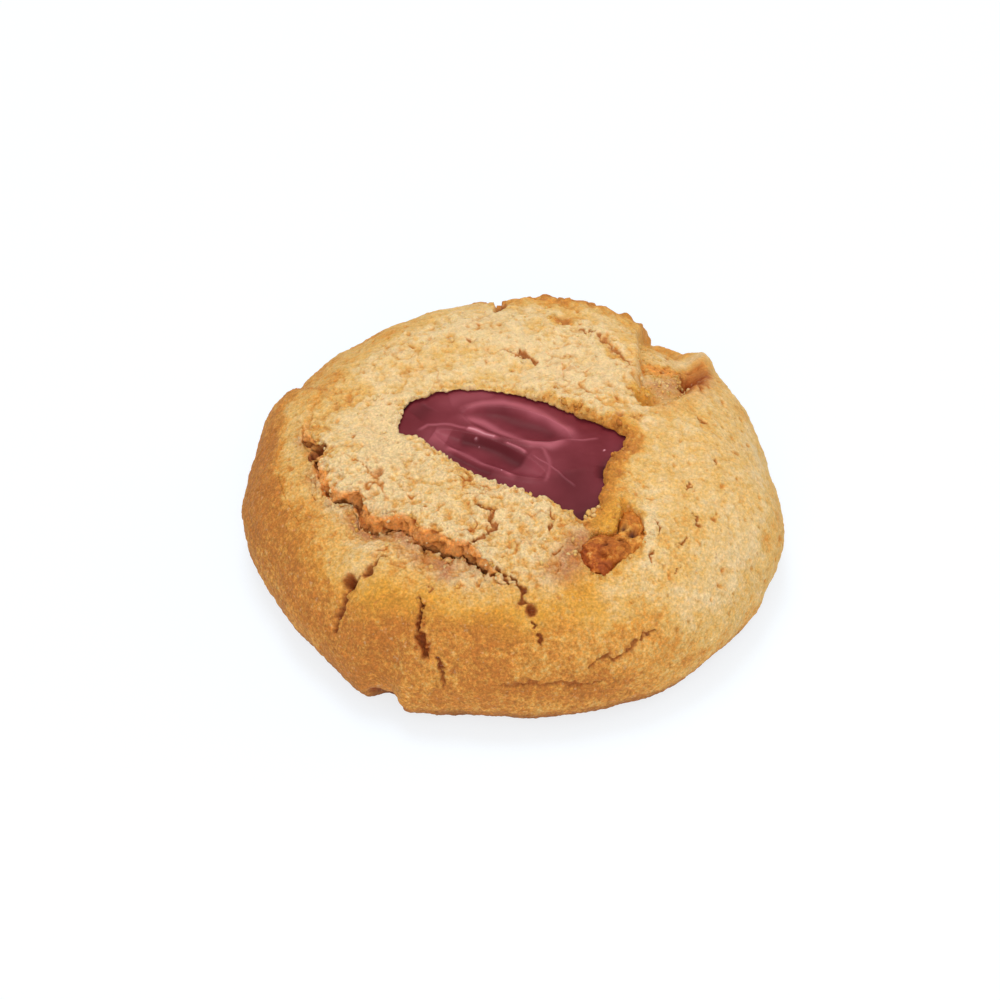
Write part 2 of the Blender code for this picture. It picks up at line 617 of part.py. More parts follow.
def slab_rows(columns, rings_on_top):
    """Points of the slab's surface as rings by columns: top face, rounded edge, underside."""
    bearings = np.arange(columns) * 360.0 / columns
    turn = np.radians(bearings)
    edge = slab_radius(bearings)
    rows = []

    def row(radius, height):
        rows.append(np.stack((radius * np.cos(turn), radius * np.sin(turn), height), axis=-1))

    for share in np.linspace(0.0, 1.0, rings_on_top):
        radius = share * (edge - SLAB_EDGE)
        row(radius, slab_top(radius * np.cos(turn), radius * np.sin(turn)))
    rim = rows[-1][:, 2]
    for angle in np.radians(TOP_EDGE_ANGLES):
        row(edge - SLAB_EDGE * (1.0 - np.sin(angle)), rim - SLAB_EDGE * (1.0 - np.cos(angle)))
    for angle in np.radians(BOTTOM_EDGE_ANGLES):
        height = np.full(columns, SLAB_BOTTOM + SLAB_EDGE * (1.0 - np.sin(angle)))
        row(edge - SLAB_EDGE * (1.0 - np.cos(angle)), height)
    for share in (0.5, 0.0):
        row(share * (edge - SLAB_EDGE), np.full(columns, SLAB_BOTTOM))
    return np.array(rows)


def make_chocolate():
    rows = slab_rows(SLAB_COLUMNS, SLAB_RINGS)
    faces = ring_faces(len(rows), SLAB_COLUMNS)
    slab = solid("raspberry_chocolate", closed_points(rows), faces, CHOCOLATE_COLOUR, 0.35)
    thin_out(slab, SLAB_TRIANGLES)
    level(slab, SLAB_BOTTOM)
    return slab


def chunk_section(along_axis):
    """Where the middle of the chunk lies across its axis, and its half width there."""
    middles = [(place, middle) for place, middle, _ in CHUNK_PLAN]
    widths = [(place, half_width) for place, _, half_width in CHUNK_PLAN]
    return along(middles, along_axis), along(widths, along_axis)


def chunk_form(grown, subdivisions):
    """Points and faces of the chunk, a bent, lumpy long ball, made larger all round by grown."""
    ball = bmesh.new()
    bmesh.ops.create_icosphere(ball, subdivisions=subdivisions, radius=1.0)
    sphere = np.array([vertex.co[:] for vertex in ball.verts])
    faces = [[vertex.index for vertex in face.verts] for face in ball.faces]
    fullness = (np.abs(sphere) ** CHUNK_FULLNESS).sum(axis=1) ** (-1.0 / CHUNK_FULLNESS)
    full = sphere * fullness[:, None]
    centre = (CHUNK_ENDS[0] + CHUNK_ENDS[1]) / 2.0
    half_length = (CHUNK_ENDS[1] - CHUNK_ENDS[0]) / 2.0
    reached = centre + full[:, 0] * half_length
    middle, half_width = chunk_section(reached)
    form = np.stack((reached, middle + full[:, 1] * half_width, full[:, 2] * CHUNK_HALF_HEIGHT), axis=-1)
    aside = np.linalg.norm(sphere - np.array(CHUNK_DENT_PLACE), axis=1)
    inward = CHUNK_DENT * np.exp(-((aside / CHUNK_DENT_SIZE) ** 2))
    form += sphere * (summed_noise(form, CHUNK_NOISE) - inward)[:, None]
    for vertex, place in zip(ball.verts, form):
        vertex.co = place
    ball.normal_update()
    form += grown * np.array([vertex.normal[:] for vertex in ball.verts])
    ball.free()
    tilt = np.radians(CHUNK_TILT)
    along_axis, across, upward = form.T
    form = np.stack(
        (
            along_axis,
            across * np.cos(tilt) - upward * np.sin(tilt),
            across * np.sin(tilt) + upward * np.cos(tilt),
        ),
        axis=-1,
    )
    turn = np.radians(CHUNK_BEARING)
    x = form[:, 0] * np.cos(turn) - form[:, 1] * np.sin(turn)
    y = form[:, 0] * np.sin(turn) + form[:, 1] * np.cos(turn)
    return np.stack((x, y, form[:, 2]), axis=-1) + np.array(CHUNK_CENTRE), faces


def make_chunk(cookie):
    """The browned chunk, and the socket that it leaves in the cookie."""
    chunk = solid("browned_chunk", *chunk_form(0.0, CHUNK_SUBDIVISIONS), CHUNK_COLOUR, 0.8)
    socket = solid("socket_cutter", *chunk_form(SOCKET_GAP, CHUNK_SUBDIVISIONS), CHUNK_COLOUR, 0.8)
    socket.hide_render = True
    socket.display_type = "WIRE"
    cut = cookie.modifiers.new("socket", "BOOLEAN")
    cut.operation = "DIFFERENCE"
    cut.solver = "EXACT"
    cut.object = socket
    apply_modifiers(cookie)
    return chunk


def main():
    for obj in list(bpy.data.objects):
        bpy.data.objects.remove(obj, do_unlink=True)
    cookie = make_cookie()
    make_chocolate()
    make_chunk(cookie)


main()
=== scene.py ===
"""Raspberry cookie: the pieces that are shown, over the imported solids, and the studio round them.

Metres, +Z up, -Y towards the camera. The sizes in this file are millimetres, turned into metres when a
mesh is made. Bearings are degrees round the middle, counter-clockwise from +X when seen from above.
"""

import bmesh
import bpy
import numpy as np
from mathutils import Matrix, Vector


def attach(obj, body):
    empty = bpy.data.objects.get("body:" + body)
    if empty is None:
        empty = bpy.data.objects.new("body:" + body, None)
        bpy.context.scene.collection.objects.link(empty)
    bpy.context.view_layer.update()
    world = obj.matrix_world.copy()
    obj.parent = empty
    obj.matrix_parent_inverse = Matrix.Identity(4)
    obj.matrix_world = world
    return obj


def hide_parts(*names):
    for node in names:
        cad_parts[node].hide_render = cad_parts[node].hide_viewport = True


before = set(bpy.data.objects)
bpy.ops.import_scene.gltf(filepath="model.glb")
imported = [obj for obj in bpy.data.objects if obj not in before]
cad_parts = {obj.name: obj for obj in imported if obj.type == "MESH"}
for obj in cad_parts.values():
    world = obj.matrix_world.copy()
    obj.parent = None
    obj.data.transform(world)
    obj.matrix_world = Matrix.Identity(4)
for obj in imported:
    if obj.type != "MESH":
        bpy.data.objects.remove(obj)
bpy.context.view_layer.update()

MM = 0.001

# Whole cookie: plan radius by bearing, and the section as (share of that radius, height).
OUTLINE = (
    (0, 40.0), (12, 39.6), (30, 40.2), (45, 40.6), (60, 40.3), (90, 40.2), (120, 39.7), (148, 39.9),
    (157, 40.5), (180, 40.6), (210, 38.9), (226, 39.2), (232, 39.9), (236, 40.1), (240, 38.8), (243, 38.9),
    (246, 40.1), (251, 39.4), (258, 38.4), (270, 38.2), (300, 39.3), (315, 40.1), (330, 40.4), (348, 40.8),
)
DOME = ((0.0, 22.6), (0.3, 22.5), (0.5, 22.0), (0.65, 21.1), (0.78, 19.2), (0.86, 17.1), (0.93, 14.2))
SIDE = (
    (0.86, 17.1), (0.93, 14.2), (0.975, 11.0), (1.0, 7.6), (0.993, 4.8), (0.97, 2.3), (0.94, 0.8),
    (0.905, 0.0),
)
MEAN_RADIUS = 40.0

# Opening in the top: radius by bearing, width and extra height of its rounded lip by bearing.
OPENING = (
    (1, 16.5), (8, 15.2), (15, 13.3), (26, 11.2), (44, 10.1), (64, 9.2), (93, 9.6), (115, 11.7), (129, 13.7),
    (142, 15.7), (158, 17.4), (169, 17.3), (175, 16.6), (179, 14.2), (187, 12.1), (207, 10.2), (227, 9.1),
    (250, 9.6), (267, 10.2), (281, 11.9), (292, 13.7), (298, 16.4), (302, 19.2), (308, 18.4), (316, 17.4),
    (326, 15.7), (337, 14.7), (346, 14.9), (352, 16.3),
)
LIP_WIDTH = (
    (0, 2.2), (60, 2.2), (110, 1.6), (160, 1.0), (220, 0.8), (280, 0.8), (310, 1.4), (340, 2.2),
)
LIP_SWELL = (
    (0, 0.7), (60, 0.0), (110, -0.4), (150, -0.2), (200, 0.2), (260, 0.3), (290, 0.1), (310, 0.0),
    (340, 0.7),
)
SWELL_REACH = 9.0
LIP_TUCK = 0.35
LIP_FOOT_STEP = 0.12
LIP_FOOT_ROUGH = 0.35
# Raggedness of the opening, as (height of the noise, size of its lumps, seed).
OPENING_NOISE = ((0.3, 2.6, 11), (0.18, 1.2, 12))
OPENING_NOISE_RADIUS = 14.0

# Broken edge of the plateau: its radius by bearing, and how far the ring beyond it lies below.
LEDGE = (
    (0, 27.0), (60, 27.0), (120, 28.0), (160, 31.0), (174, 30.6), (181, 28.4), (186, 28.4), (195, 28.2),
    (201, 27.4), (205, 24.6), (209, 24.6), (214, 25.5), (218, 25.2), (222, 22.9), (227, 21.9), (234, 22.3),
    (240, 21.9), (245, 22.3), (251, 21.7), (256, 22.7), (260, 24.2), (264, 25.9), (268, 27.0), (320, 27.0),
)
STEP_DOWN = (
    (0, 0.0), (150, 0.0), (166, 0.3), (178, 1.0), (190, 1.3), (203, 1.9), (212, 2.5), (222, 2.8), (240, 2.8),
    (254, 2.5), (261, 1.5), (268, 0.2), (275, 0.0), (320, 0.0),
)
STEP_REACH = 10.5
BRINK_LIFT = 0.4
BRINK_INSET = 0.9
CRACK_UNDER_STEP = 0.9
# The drop from which the edge counts as wholly broken.
WHOLLY_BROKEN = 1.2
# Raggedness of the broken edge, as (height of the noise, size of its lumps, seed).
LEDGE_NOISE = ((0.3, 2.6, 21), (0.22, 1.4, 22))
LEDGE_NOISE_RADIUS = 26.0
# Section through the break, from the plateau outwards: distance beyond the ledge's radius, then the drop
# below the plateau or, from the crack on, how deep the ring sinks as a share of the crack's depth.
EDGE = (
    (-0.55, 0.06, None), (-0.1, 0.2, None), (0.12, 0.6, None), (0.2, 1.1, None), (0.25, None, 0.1),
    (0.3, None, 1.0), (0.7, None, 0.8), (1.0, None, 0.12), (1.6, None, 0.0),
)

# Raspberry chocolate: an oblong slab with rounded corners, lying askew in its pocket.
SLAB_BEARING = -29.0
SLAB_HALF = (18.4, 11.0)
SLAB_CENTRE = (0.5, -0.2)
SLAB_CORNER = 5.0
SLAB_BOTTOM = 15.3
SLAB_TOP = 21.5
SLAB_CROWN = 0.5
SLAB_EDGE = 0.8
GAP = 0.3
# Two boat-shaped hollows in its top: centre, bearing, half length, half width, depth.
HOLLOWS = (
    ((0.4, 3.3), -18.0, 8.8, 3.2, 0.9),
    ((-3.4, -2.7), -30.0, 10.0, 2.5, 0.8),
)
HOLLOW_RIM = (0.22, 0.65)
HOLLOW_NARROWING = 0.75
HOLLOW_NARROWEST = 0.02
RIM_FADE = 4.0
TOP_EDGE_ANGLES = (30.0, 60.0, 90.0)
BOTTOM_EDGE_ANGLES = (0.0, 45.0, 90.0)

# Browned chunk baked into the ring beside the opening: a long lump, notched on its inner side, with a
# dent on top. Its section along its bearing is (place, middle, half width).
CHUNK_CENTRE = (14.4, -19.1, 19.4)
CHUNK_ENDS = (-6.9, 5.9)
CHUNK_PLAN = (
    (-6.9, -1.2, 2.6), (-4.5, -0.9, 2.95), (-1.4, -0.6, 2.9), (0.0, -1.6, 2.3), (1.0, -1.8, 2.2),
    (2.6, -1.0, 2.5), (4.0, -0.2, 2.7), (5.3, 0.8, 2.75), (5.9, 1.2, 2.6),
)
CHUNK_HALF_HEIGHT = 2.8
CHUNK_BEARING = 48.0
CHUNK_TILT = 11.0
CHUNK_FULLNESS = 3
CHUNK_DENT = 0.4
CHUNK_DENT_PLACE = (0.2, 0.3, 0.95)
CHUNK_DENT_SIZE = 0.35
CHUNK_NOISE = ((0.45, 2.6, 51), (0.28, 1.3, 52))

# Cracks as (depth, line of places on the skin's flat map, each with the crack's half width there).
CRACKS = (
    (0.7, ((-18.2, -21.3, 0.15), (-20.6, -23.6, 0.3), (-22.6, -24.0, 0.3), (-24.0, -24.3, 0.4))),
    (1.0, ((-24.4, -25.4, 0.25), (-25.3, -26.6, 0.5), (-26.5, -28.2, 0.5), (-28.4, -31.0, 0.2))),
    (1.6, ((-14.0, -28.4, 0.2), (-13.4, -30.5, 0.35), (-13.5, -33.0, 0.6), (-13.5, -35.8, 0.9),
           (-13.0, -37.0, 0.5), (-12.9, -37.3, 0.1))),
    (0.9, ((-11.9, -37.7, 0.2), (-11.2, -38.4, 0.4), (-10.6, -39.0, 0.25))),
    (0.6, ((-10.7, -39.9, 0.25), (-10.9, -41.0, 0.3), (-11.1, -41.8, 0.15))),
    (0.5, ((-12.0, -28.3, 0.3), (-11.5, -27.5, 0.3), (-12.0, -26.4, 0.15))),
    (0.8, ((-2.8, -25.6, 0.4), (-1.2, -26.7, 0.35), (0.5, -27.5, 0.25), (1.3, -28.8, 0.35),
           (1.6, -30.0, 0.35))),
    (0.7, ((3.0, -32.2, 0.2), (3.4, -32.8, 0.35), (3.5, -33.4, 0.2))),
    (0.9, ((3.6, -34.4, 0.25), (3.9, -35.0, 0.4), (3.9, -35.6, 0.2))),
    (0.5, ((21.4, -31.6, 0.2), (19.1, -33.8, 0.3), (17.1, -35.5, 0.3), (16.4, -36.6, 0.4),
           (13.0, -37.4, 0.25), (11.6, -39.2, 0.2))),
    (0.4, ((-2.0, -42.0, 0.2), (2.6, -41.7, 0.3), (5.7, -41.8, 0.25), (7.6, -41.3, 0.4),
           (11.5, -41.6, 0.3), (14.4, -40.8, 0.25))),
    (0.5, ((-5.6, -13.6, 0.2), (-3.1, -15.0, 0.4), (-2.8, -17.9, 0.4), (-3.9, -19.3, 0.2),
           (-5.6, -20.6, 0.3))),
    (0.5, ((0.8, 19.0, 0.3), (2.0, 17.3, 0.4), (3.0, 16.0, 0.3))),
    (0.3, ((13.4, 23.0, 0.3), (14.4, 21.0, 0.45), (15.6, 19.2, 0.4), (17.8, 17.0, 0.3))),
    (2.0, ((-2.4, 39.0, 1.6), (-2.3, 34.0, 1.2), (-2.1, 30.0, 0.4))),
)
# How far noise bends the cracks, as (distance, size of the lumps, seed).
CRACK_BEND = ((0.5, 2.2, 43), (0.4, 0.9, 45), (0.25, 0.5, 47))
# How far noise widens and narrows the cracks: share of the width, size of the lumps, seed.
CRACK_WAVER = (0.9, 1.1, 46)
CRACK_WAVER_LIMITS = (0.25, 2.0)
# How steep the sides of a crack are: the higher, the steeper.
CRACK_SHARPNESS = 3
# Flaps whose edge stands up along a line, to the left of the line's direction: height, how far the
# flap reaches back, and the line.
FLAPS = (
    (0.65, 8.0, ((-25.0, 10.0), (-28.5, 12.6), (-31.8, 15.5), (-34.5, 18.2), (-38.5, 22.0))),
)
# Share of a flap's line over which its edge rises to the full height.
FLAP_TAPER = 0.4
# Pits, and bumps, as (place on the map, radius, depth). A bump has a depth below 0.
PITS = (
    ((-29.0, -0.6), 1.2, 1.5),
    ((-24.6, 9.7), 0.6, 0.6),
    ((-19.6, -7.1), 0.8, 0.7),
    ((-12.9, -19.6), 0.8, 0.5),
    ((7.8, 27.0), 1.3, 0.7),
    ((13.9, 22.2), 0.8, 0.7),
    ((15.8, 4.2), 0.6, 0.7),
    ((18.2, 4.0), 0.6, 0.6),
    ((-24.0, -24.3), 1.05, 2.2),
    ((-20.9, -23.7), 0.8, 0.9),
    ((2.5, -31.0), 0.75, 1.1),
    ((-25.6, -43.4), 2.0, 1.1),
    ((-23.0, -45.2), 2.0, 2.4),
    ((20.3, -16.4), 1.6, -0.5),
    ((29.6, 25.8), 2.4, -1.3),
    ((7.6, 35.7), 0.95, -0.9),
    ((12.1, 34.4), 0.85, -0.7),
    ((17.5, 32.0), 1.0, -0.7),
)
# How steep the sides of a pit or a bump are: the higher, the steeper.
PIT_SHARPNESS = 3
# Hollow at the back, on the right, where the edge has crumbled away: its outline on the map, its depth,
# the width of its wall, and the pits and lumps in it, with a deeper cavity under its right side.
CRATER = (
    (17.2, 9.4), (18.9, 6.6), (21.5, 6.8), (24.9, 9.2), (27.3, 11.8), (29.2, 16.1), (30.0, 21.0),
    (29.4, 26.0), (28.6, 33.0), (24.0, 38.0), (20.5, 33.0), (18.8, 27.0), (18.3, 19.4), (18.2, 14.8),
)
CRATER_DEPTH = 2.6
CRATER_WALL = 1.8
CRATER_NOISE = ((0.5, 2.4, 42),)
CRATER_PITS = (
    ((27.5, 16.2), 1.4, 2.3),
    ((28.1, 19.0), 1.4, 2.0),
    ((19.7, 11.6), 1.5, -1.5),
    ((22.5, 14.0), 1.6, -0.5),
)
# Raised, crumbly ridge along the back edge: its middle bearing and half width, how steep its ends are,
# its place along the skin and half width, its height, and how crumbly it is: even share of the height,
# uneven share, size of the lumps and seed.
RIDGE_BEARING = (78.0, 19.0)
RIDGE_END = 1.4
RIDGE_PLACE = (34.0, 4.5)
RIDGE_HEIGHT = 1.0
RIDGE_CRUMBS = (1.05, 0.75, 1.9, 34)
# Unevenness of the whole skin, as (height, size of the lumps, seed).
SWELLS = ((0.45, 12.0, 31), (0.28, 5.5, 32))
# Lumps: their height on the ring and on the crumbly top, their size and seed. The top is crumbly up to
# a radius, and the crumbliness fades over a width.
LUMPS = (0.08, 0.22, 2.4, 33)
CRUMBLY_TO = (25.0, 8.0)
# Rings in each stretch of the skin, before the fineness.
RINGS = {
    "pocket floor": 6, "pocket wall": 5, "under the lip": 3, "lip": 7, "plateau": 22,
    "each row of the break": 2, "golden ring": 14, "side": 30, "underside": 8,
}

# Finer detail than the solids carry.
COLUMNS = 1150
FINENESS = 3.2
COOKIE_TRIANGLES = 196000
SLAB_COLUMNS = 420
SLAB_RINGS = 110
CHUNK_SUBDIVISIONS = 6
SKIN_VALUES = ("toast", "cream", "glow", "rosy", "face", "hollow_shade", "shade_and_dark_foot", "quiet")

# Radius at which the cream top gives way to the golden ring, by bearing, over what width, and how frayed.
CREAM_EDGE = (
    (0, 20.0), (30, 22.0), (50, 27.0), (75, 30.5), (100, 30.0), (130, 29.5), (160, 30.0), (178, 29.5),
    (200, 28.5), (215, 27.0), (225, 28.5), (240, 29.0), (262, 28.0), (278, 27.0), (292, 25.5), (305, 20.0),
    (318, 18.5), (335, 18.0),
)
CREAM_BLUR = 3.2
CREAM_FRAY = ((0.5, 6.0, 71), (0.25, 2.2, 72))
# How crumbly the cream top is, and how smooth and even in colour the skin is, by bearing.
CRUMBLE = (
    (0, 0.7), (30, 0.85), (60, 0.55), (90, 0.35), (165, 0.4), (195, 0.85), (250, 1.0), (310, 1.0), (335, 0.7),
)
QUIET = (
    (0, 0.7), (30, 0.8), (60, 0.9), (90, 1.0), (135, 0.9), (165, 0.5), (195, 0.1), (280, 0.0), (320, 0.3),
    (345, 0.6),
)
# Fine relief of the skin: grain everywhere, and crumbs where it is crumbly.
GRAIN = ((0.08, 1.3, 61), (0.1, 0.65, 62))
CRUMBS_RELIEF = ((0.28, 2.0, 63), (0.26, 0.95, 64), (0.16, 0.5, 67))
# The least share of the crumbs that is left on smooth skin.
CRUMBS_LEAST = 0.2
# Veins where noise passes through 0: that noise, how narrow they are, where they lie, their depth, and the
# least share of them that is left on smooth skin.
VEINS = ((1.0, 3.4, 65), (0.25, 1.1, 69))
VEIN_NARROWNESS = 9.0
VEIN_AREAS = ((1.5, 6.0, 66),)
VEIN_AREAS_BASE = 0.35
VEIN_DEPTH = 0.3
VEINS_LEAST = 0.3
# Pores: size and seed of their noise, the value above which it opens them, and the most that counts.
PORE_NOISE = (1.15, 68)
PORE_FROM = 0.53
PORE_LIMIT = 0.5
PORE_DEPTH = 0.7
# How painted shade follows the fine relief, in its low places: steepness, level at rest, least and greatest
# value.
SHADE_BY_HEIGHT = (4.0, 0.1, -0.5, 1.5)
# How far the skin is more crumbly beside the broken edge, the opening and, as (share, reach), the chunk.
NEAR_BREAK = 1.6
NEAR_OPENING = 1.2
NEAR_CHUNK = (0.9, 1.8)
# The top of the skin reaches out to this distance along the skin.
TOP_RADIUS = 34.0
# How far the skin is pushed down under the chunk, which fills the place, and the softness of that edge.
CHUNK_DIP = 2.5
CHUNK_DIP_EDGE = 0.14
# The core of the chunk, from which reaches are measured: inset at its ends and share of its half width.
CHUNK_CORE = (0.8, 0.85)

# Browning of the whole skin: its base, its clouds, and how much paler the cream top is.
TOAST_BASE = 0.3
TOAST_CLOUDS = ((0.14, 9.0, 81), (0.1, 3.0, 83))
CREAM_PALER = 0.22
# Browning of the side and the shoulder by bearing: how brown, and where along the skin it starts. Then how
# frayed that start is, over what length it rises, and how strong it is in all.
TOAST = (
    (0, 0.16), (40, 0.22), (70, 0.45), (100, 0.5), (135, 0.55), (160, 0.75), (180, 0.95), (205, 0.95),
    (225, 0.9), (245, 0.85), (262, 0.8), (285, 0.66), (305, 0.5), (325, 0.3),
)
TOAST_START = (
    (0, 38.0), (40, 36.0), (70, 34.5), (110, 34.0), (150, 33.5), (180, 33.5), (205, 33.5), (222, 33.5),
    (241, 31.0), (261, 30.0), (282, 30.5), (300, 34.0), (320, 38.0),
)
TOAST_FRAY = ((1.3, 4.0, 82), (0.5, 1.6, 85))
TOAST_RISE = 4.0
TOAST_STRENGTH = 0.62
# Browning of the foot: the height up to which it reaches, and how brown and how dark it is.
FOOT_TOAST = (4.6, 0.75, 0.75)
# Browning of the lip round the opening by bearing: how brown, and how far it reaches. Then how frayed it
# is, where it starts and how strong it is in all.
LIP_TOAST = (
    (0, 1.0), (15, 0.9), (35, 0.6), (60, 0.5), (85, 0.4), (110, 0.2), (150, 0.1), (200, 0.0), (285, 0.0),
    (302, 0.6), (315, 1.0), (340, 1.0),
)
LIP_TOAST_REACH = ((0, 3.2), (14, 1.9), (30, 0.8), (110, 0.8), (290, 2.2), (320, 3.2), (345, 3.4))
LIP_TOAST_FRAY = ((0.8, 2.0, 86),)
LIP_TOAST_START = 0.6
LIP_TOAST_STRENGTH = 0.75
# Saturated yellow band at the upper edge of the browned shoulder: strength by bearing, then its place
# along the skin from the start of the browning and its half width.
SHOULDER_GLOW = (
    (0, 0.0), (180, 0.0), (212, 0.25), (232, 0.75), (250, 0.9), (275, 1.0), (290, 0.6), (305, 0.2),
    (325, 0.0),
)
SHOULDER_GLOW_LINE = (1.0, 2.6)
# How much painted shade hollow veins, sunk grain and pores take, how much browner painted shade makes sunk
# grain, and the tint of the face of the break.
VEIN_SHADE = 0.45
SUNK_GRAIN_SHADE = 0.22
PORE_SHADE = 0.9
SUNK_SHADE_TOAST = 0.25
FACE_TINT = 0.95
# Painted shade in the cracks: its least strength, and its darkness as (share from which a crack is dark,
# greatest darkness, darkness by depth).
CRACK_SHADE_LEAST = 0.5
CRACK_SHADE_DARKNESS = (0.4, 0.9, 1.1)

# Face of the break: where it starts and ends beyond the ledge and over what widths, the clouds of painted
# shade on it with their base, and how much more painted shade its sunk places take.
FACE_EDGES = ((-0.25, 0.3), (0.8, 0.5))
FACE_SHADE_CLOUDS = (((0.3, 1.3, 87),), 0.05)
FACE_SUNK_SHADE = 0.42
# Rosy band below the break and painted highlight on the brink above it, as (strength, place, half width).
BREAK_ROSY = (0.5, 1.6, 0.9)
BREAK_ROSY_CLOUDS = (((1.0, 2.4, 91),), 0.7)
BRINK_HIGHLIGHT = (0.1, -1.4, 1.2)
# Painted shade in the crease along the flap: strength, half width, and how steeply it begins.
FLAP_CREASE_SHADE = (0.5, 0.5, 3.0)
# How far the crack under the broken edge gapes, by bearing, and the place and half width of its painted
# shadow.
GAPING = (
    (165, 0.0), (176, 0.9), (183, 0.9), (187, 0.3), (196, 0.4), (200, 1.0), (206, 1.0), (209, 0.3),
    (213, 0.5), (216, 1.0), (226, 1.0), (229, 0.5), (233, 1.0), (262, 1.0), (268, 0.1), (330, 0.0),
)
GAPING_SHADOW_LINE = (0.53, 0.25)
# Painted shade in the pits: how sharp its edge is, the depth from which it is full, and its share of
# darkness.
PIT_SHADE = (5, 1.0, 0.5)
# Patches of colour, as (amount, x and y on the map, half length, half width, bearing).
PATCHES = {
    "toast": (
        (0.3, -30.5, -15.5, 5.0, 2.6, 110), (0.32, -16.5, -30.5, 3.0, 2.2, 20),
        (0.3, -3.5, -33.0, 6.5, 2.4, 0), (0.35, -38.5, -6.0, 12.0, 4.0, 95),
        (0.3, -31.6, -11.0, 4.0, 2.6, 110), (1.05, -19.9, -30.8, 4.4, 2.6, 20),
        (0.3, -22.0, -14.8, 4.5, 1.4, 140), (0.4, 9.6, -28.4, 3.0, 2.0, 130),
        (0.4, 13.6, -16.4, 2.6, 2.0, 60), (0.2, 8.0, -22.8, 2.8, 2.4, 60), (0.25, 14.0, -42.0, 8.0, 3.5, 15),
        (0.35, -27.0, -36.0, 7.0, 5.0, 40), (0.22, -2.0, -42.5, 14.0, 3.0, 0),
        # The second patch here and the first on the next line make the right side paler: partly less browned
        # dough, partly painted light from the right.
        (0.2, -15.0, -21.2, 4.5, 1.6, 155), (-0.12, 34.0, -12.0, 20.0, 10.0, 75),
        (-0.12, 33.0, -28.0, 12.0, 7.0, 50), (-0.3, 25.0, 24.0, 6.0, 2.0, 30),
        (-0.25, -21.0, 2.5, 6.0, 5.0, 0), (-0.25, 12.8, 12.7, 6.0, 4.0, 0), (-0.6, 19.7, -17.9, 4.6, 1.0, 86),
        (0.2, -19.5, 25.5, 9.0, 4.0, 35), (0.22, -27.0, 12.0, 7.0, 5.0, 70), (0.12, 0.0, -21.0, 9.0, 5.0, 0),
        (0.22, -27.5, 5.0, 6.0, 4.0, 90), (0.18, -9.0, 17.5, 8.0, 4.5, 0), (0.12, 24.0, -16.0, 6.0, 10.0, 0),
        (0.16, -18.0, -22.8, 9.0, 2.4, 150), (0.3, 14.2, -8.5, 5.0, 1.8, 80), (0.3, 17.2, 3.2, 2.4, 1.8, 0),
        (0.5, 15.2, 18.6, 3.2, 0.9, 125), (0.85, 7.8, 27.0, 1.6, 1.1, 0), (1.05, 9.5, 34.8, 13.0, 3.4, 165),
        (0.6, 23.3, 20.0, 4.8, 1.6, 8), (0.5, 20.0, 9.6, 1.4, 1.2, 0), (0.3, 19.6, 11.7, 1.7, 1.6, 0),
    ),
    "glow": (
        (-0.8, 19.7, -17.9, 4.6, 1.3, 86), (1.2, 9.6, -28.4, 3.4, 2.0, 130), (1.2, 13.6, -16.4, 3.2, 2.3, 60),
        (0.5, -20.1, -28.0, 3.2, 2.2, 20), (-0.35, -3.3, -29.4, 4.0, 1.6, 0), (0.5, 21.0, 30.0, 5.0, 5.0, 0),
        (1.8, 19.6, 11.7, 1.7, 1.6, 0), (0.6, 17.2, 2.6, 2.2, 1.8, 0), (0.4, 14.4, -8.0, 4.0, 1.6, 80),
    ),
    "rosy": (
        (-0.5, 19.5, 11.6, 1.7, 1.6, 0), (0.35, -15.0, -21.4, 4.0, 1.4, 155),
        (0.8, -22.2, -14.8, 4.0, 1.2, 140), (0.3, 22.0, 7.0, 2.6, 1.4, 20), (0.6, 24.6, 16.0, 3.0, 2.2, 20),
        (0.9, 8.4, -22.6, 2.8, 2.4, 60), (0.75, -10.8, -22.8, 3.6, 1.6, 150), (0.8, -9.9, -25.0, 1.6, 1.4, 0),
        (0.55, -16.5, -17.5, 3.5, 1.3, 130), (0.9, 9.6, -20.2, 1.8, 2.6, 0), (0.7, 6.6, -25.4, 3.0, 2.2, 20),
        (0.6, 22.4, 13.6, 4.0, 2.6, 50),
    ),
    "face": ((0.55, 23.3, 19.6, 4.4, 1.3, 8),),
    # Painted shade: the cavity under the crater's right wall, the notch in the foot, a spot by the crater's
    # near edge and the deepest stretch of a crack.
    "hollow_shade": (
        (1.3, 28.1, 17.4, 4.8, 1.9, 76), (0.55, -25.0, -44.0, 5.0, 1.6, 30), (0.85, 21.0, 8.6, 1.9, 0.8, 0),
        (0.8, -13.5, -34.6, 2.2, 0.8, 90),
    ),
    # Deep painted shade in the crater's cavity and under the notch in the foot.
    "shade_and_dark_foot": (
        (0.4, 28.0, 16.4, 3.4, 1.1, 76), (0.3, -24.0, -45.2, 3.6, 0.9, 30),
    ),
}
# How far noise frays the patches, the size of its lumps and its seeds.
PATCH_FRAY = (0.7, 1.4, (88, 89))
# Colour round the browned chunk, as (which value, amount, reach).
CHUNK_SURROUNDINGS = (("glow", 0.5, 3.0), ("toast", 0.25, 2.0))
# Colours of the baked dough as linear light: four stages of baking, then those laid over them.
PALE = (0.82, 0.60, 0.31)
GOLDEN = (0.76, 0.46, 0.14)
AMBER = (0.70, 0.31, 0.055)
BROWN = (0.51, 0.18, 0.03)
GLOW = (0.72, 0.345, 0.04)
ROSY = (0.50, 0.21, 0.09)
# Painted shade of hollows, cracks and pores, also the colour of random dark flecks.
HOLLOW_SHADE_AND_FLECK = (0.40, 0.085, 0.008)
FACE = (0.95, 0.36, 0.075)
# Painted shade of sunk grain.
SUNK_SHADE_COLOUR = (0.62, 0.25, 0.055)
# Deep painted shade, also the darkening of the foot.
DEEP_SHADE_AND_FOOT = (0.10, 0.022, 0.007)
FLECK = (0.90, 0.74, 0.45)
BAKED = ((0.0, PALE), (0.33, GOLDEN), (0.66, AMBER), (1.0, BROWN))
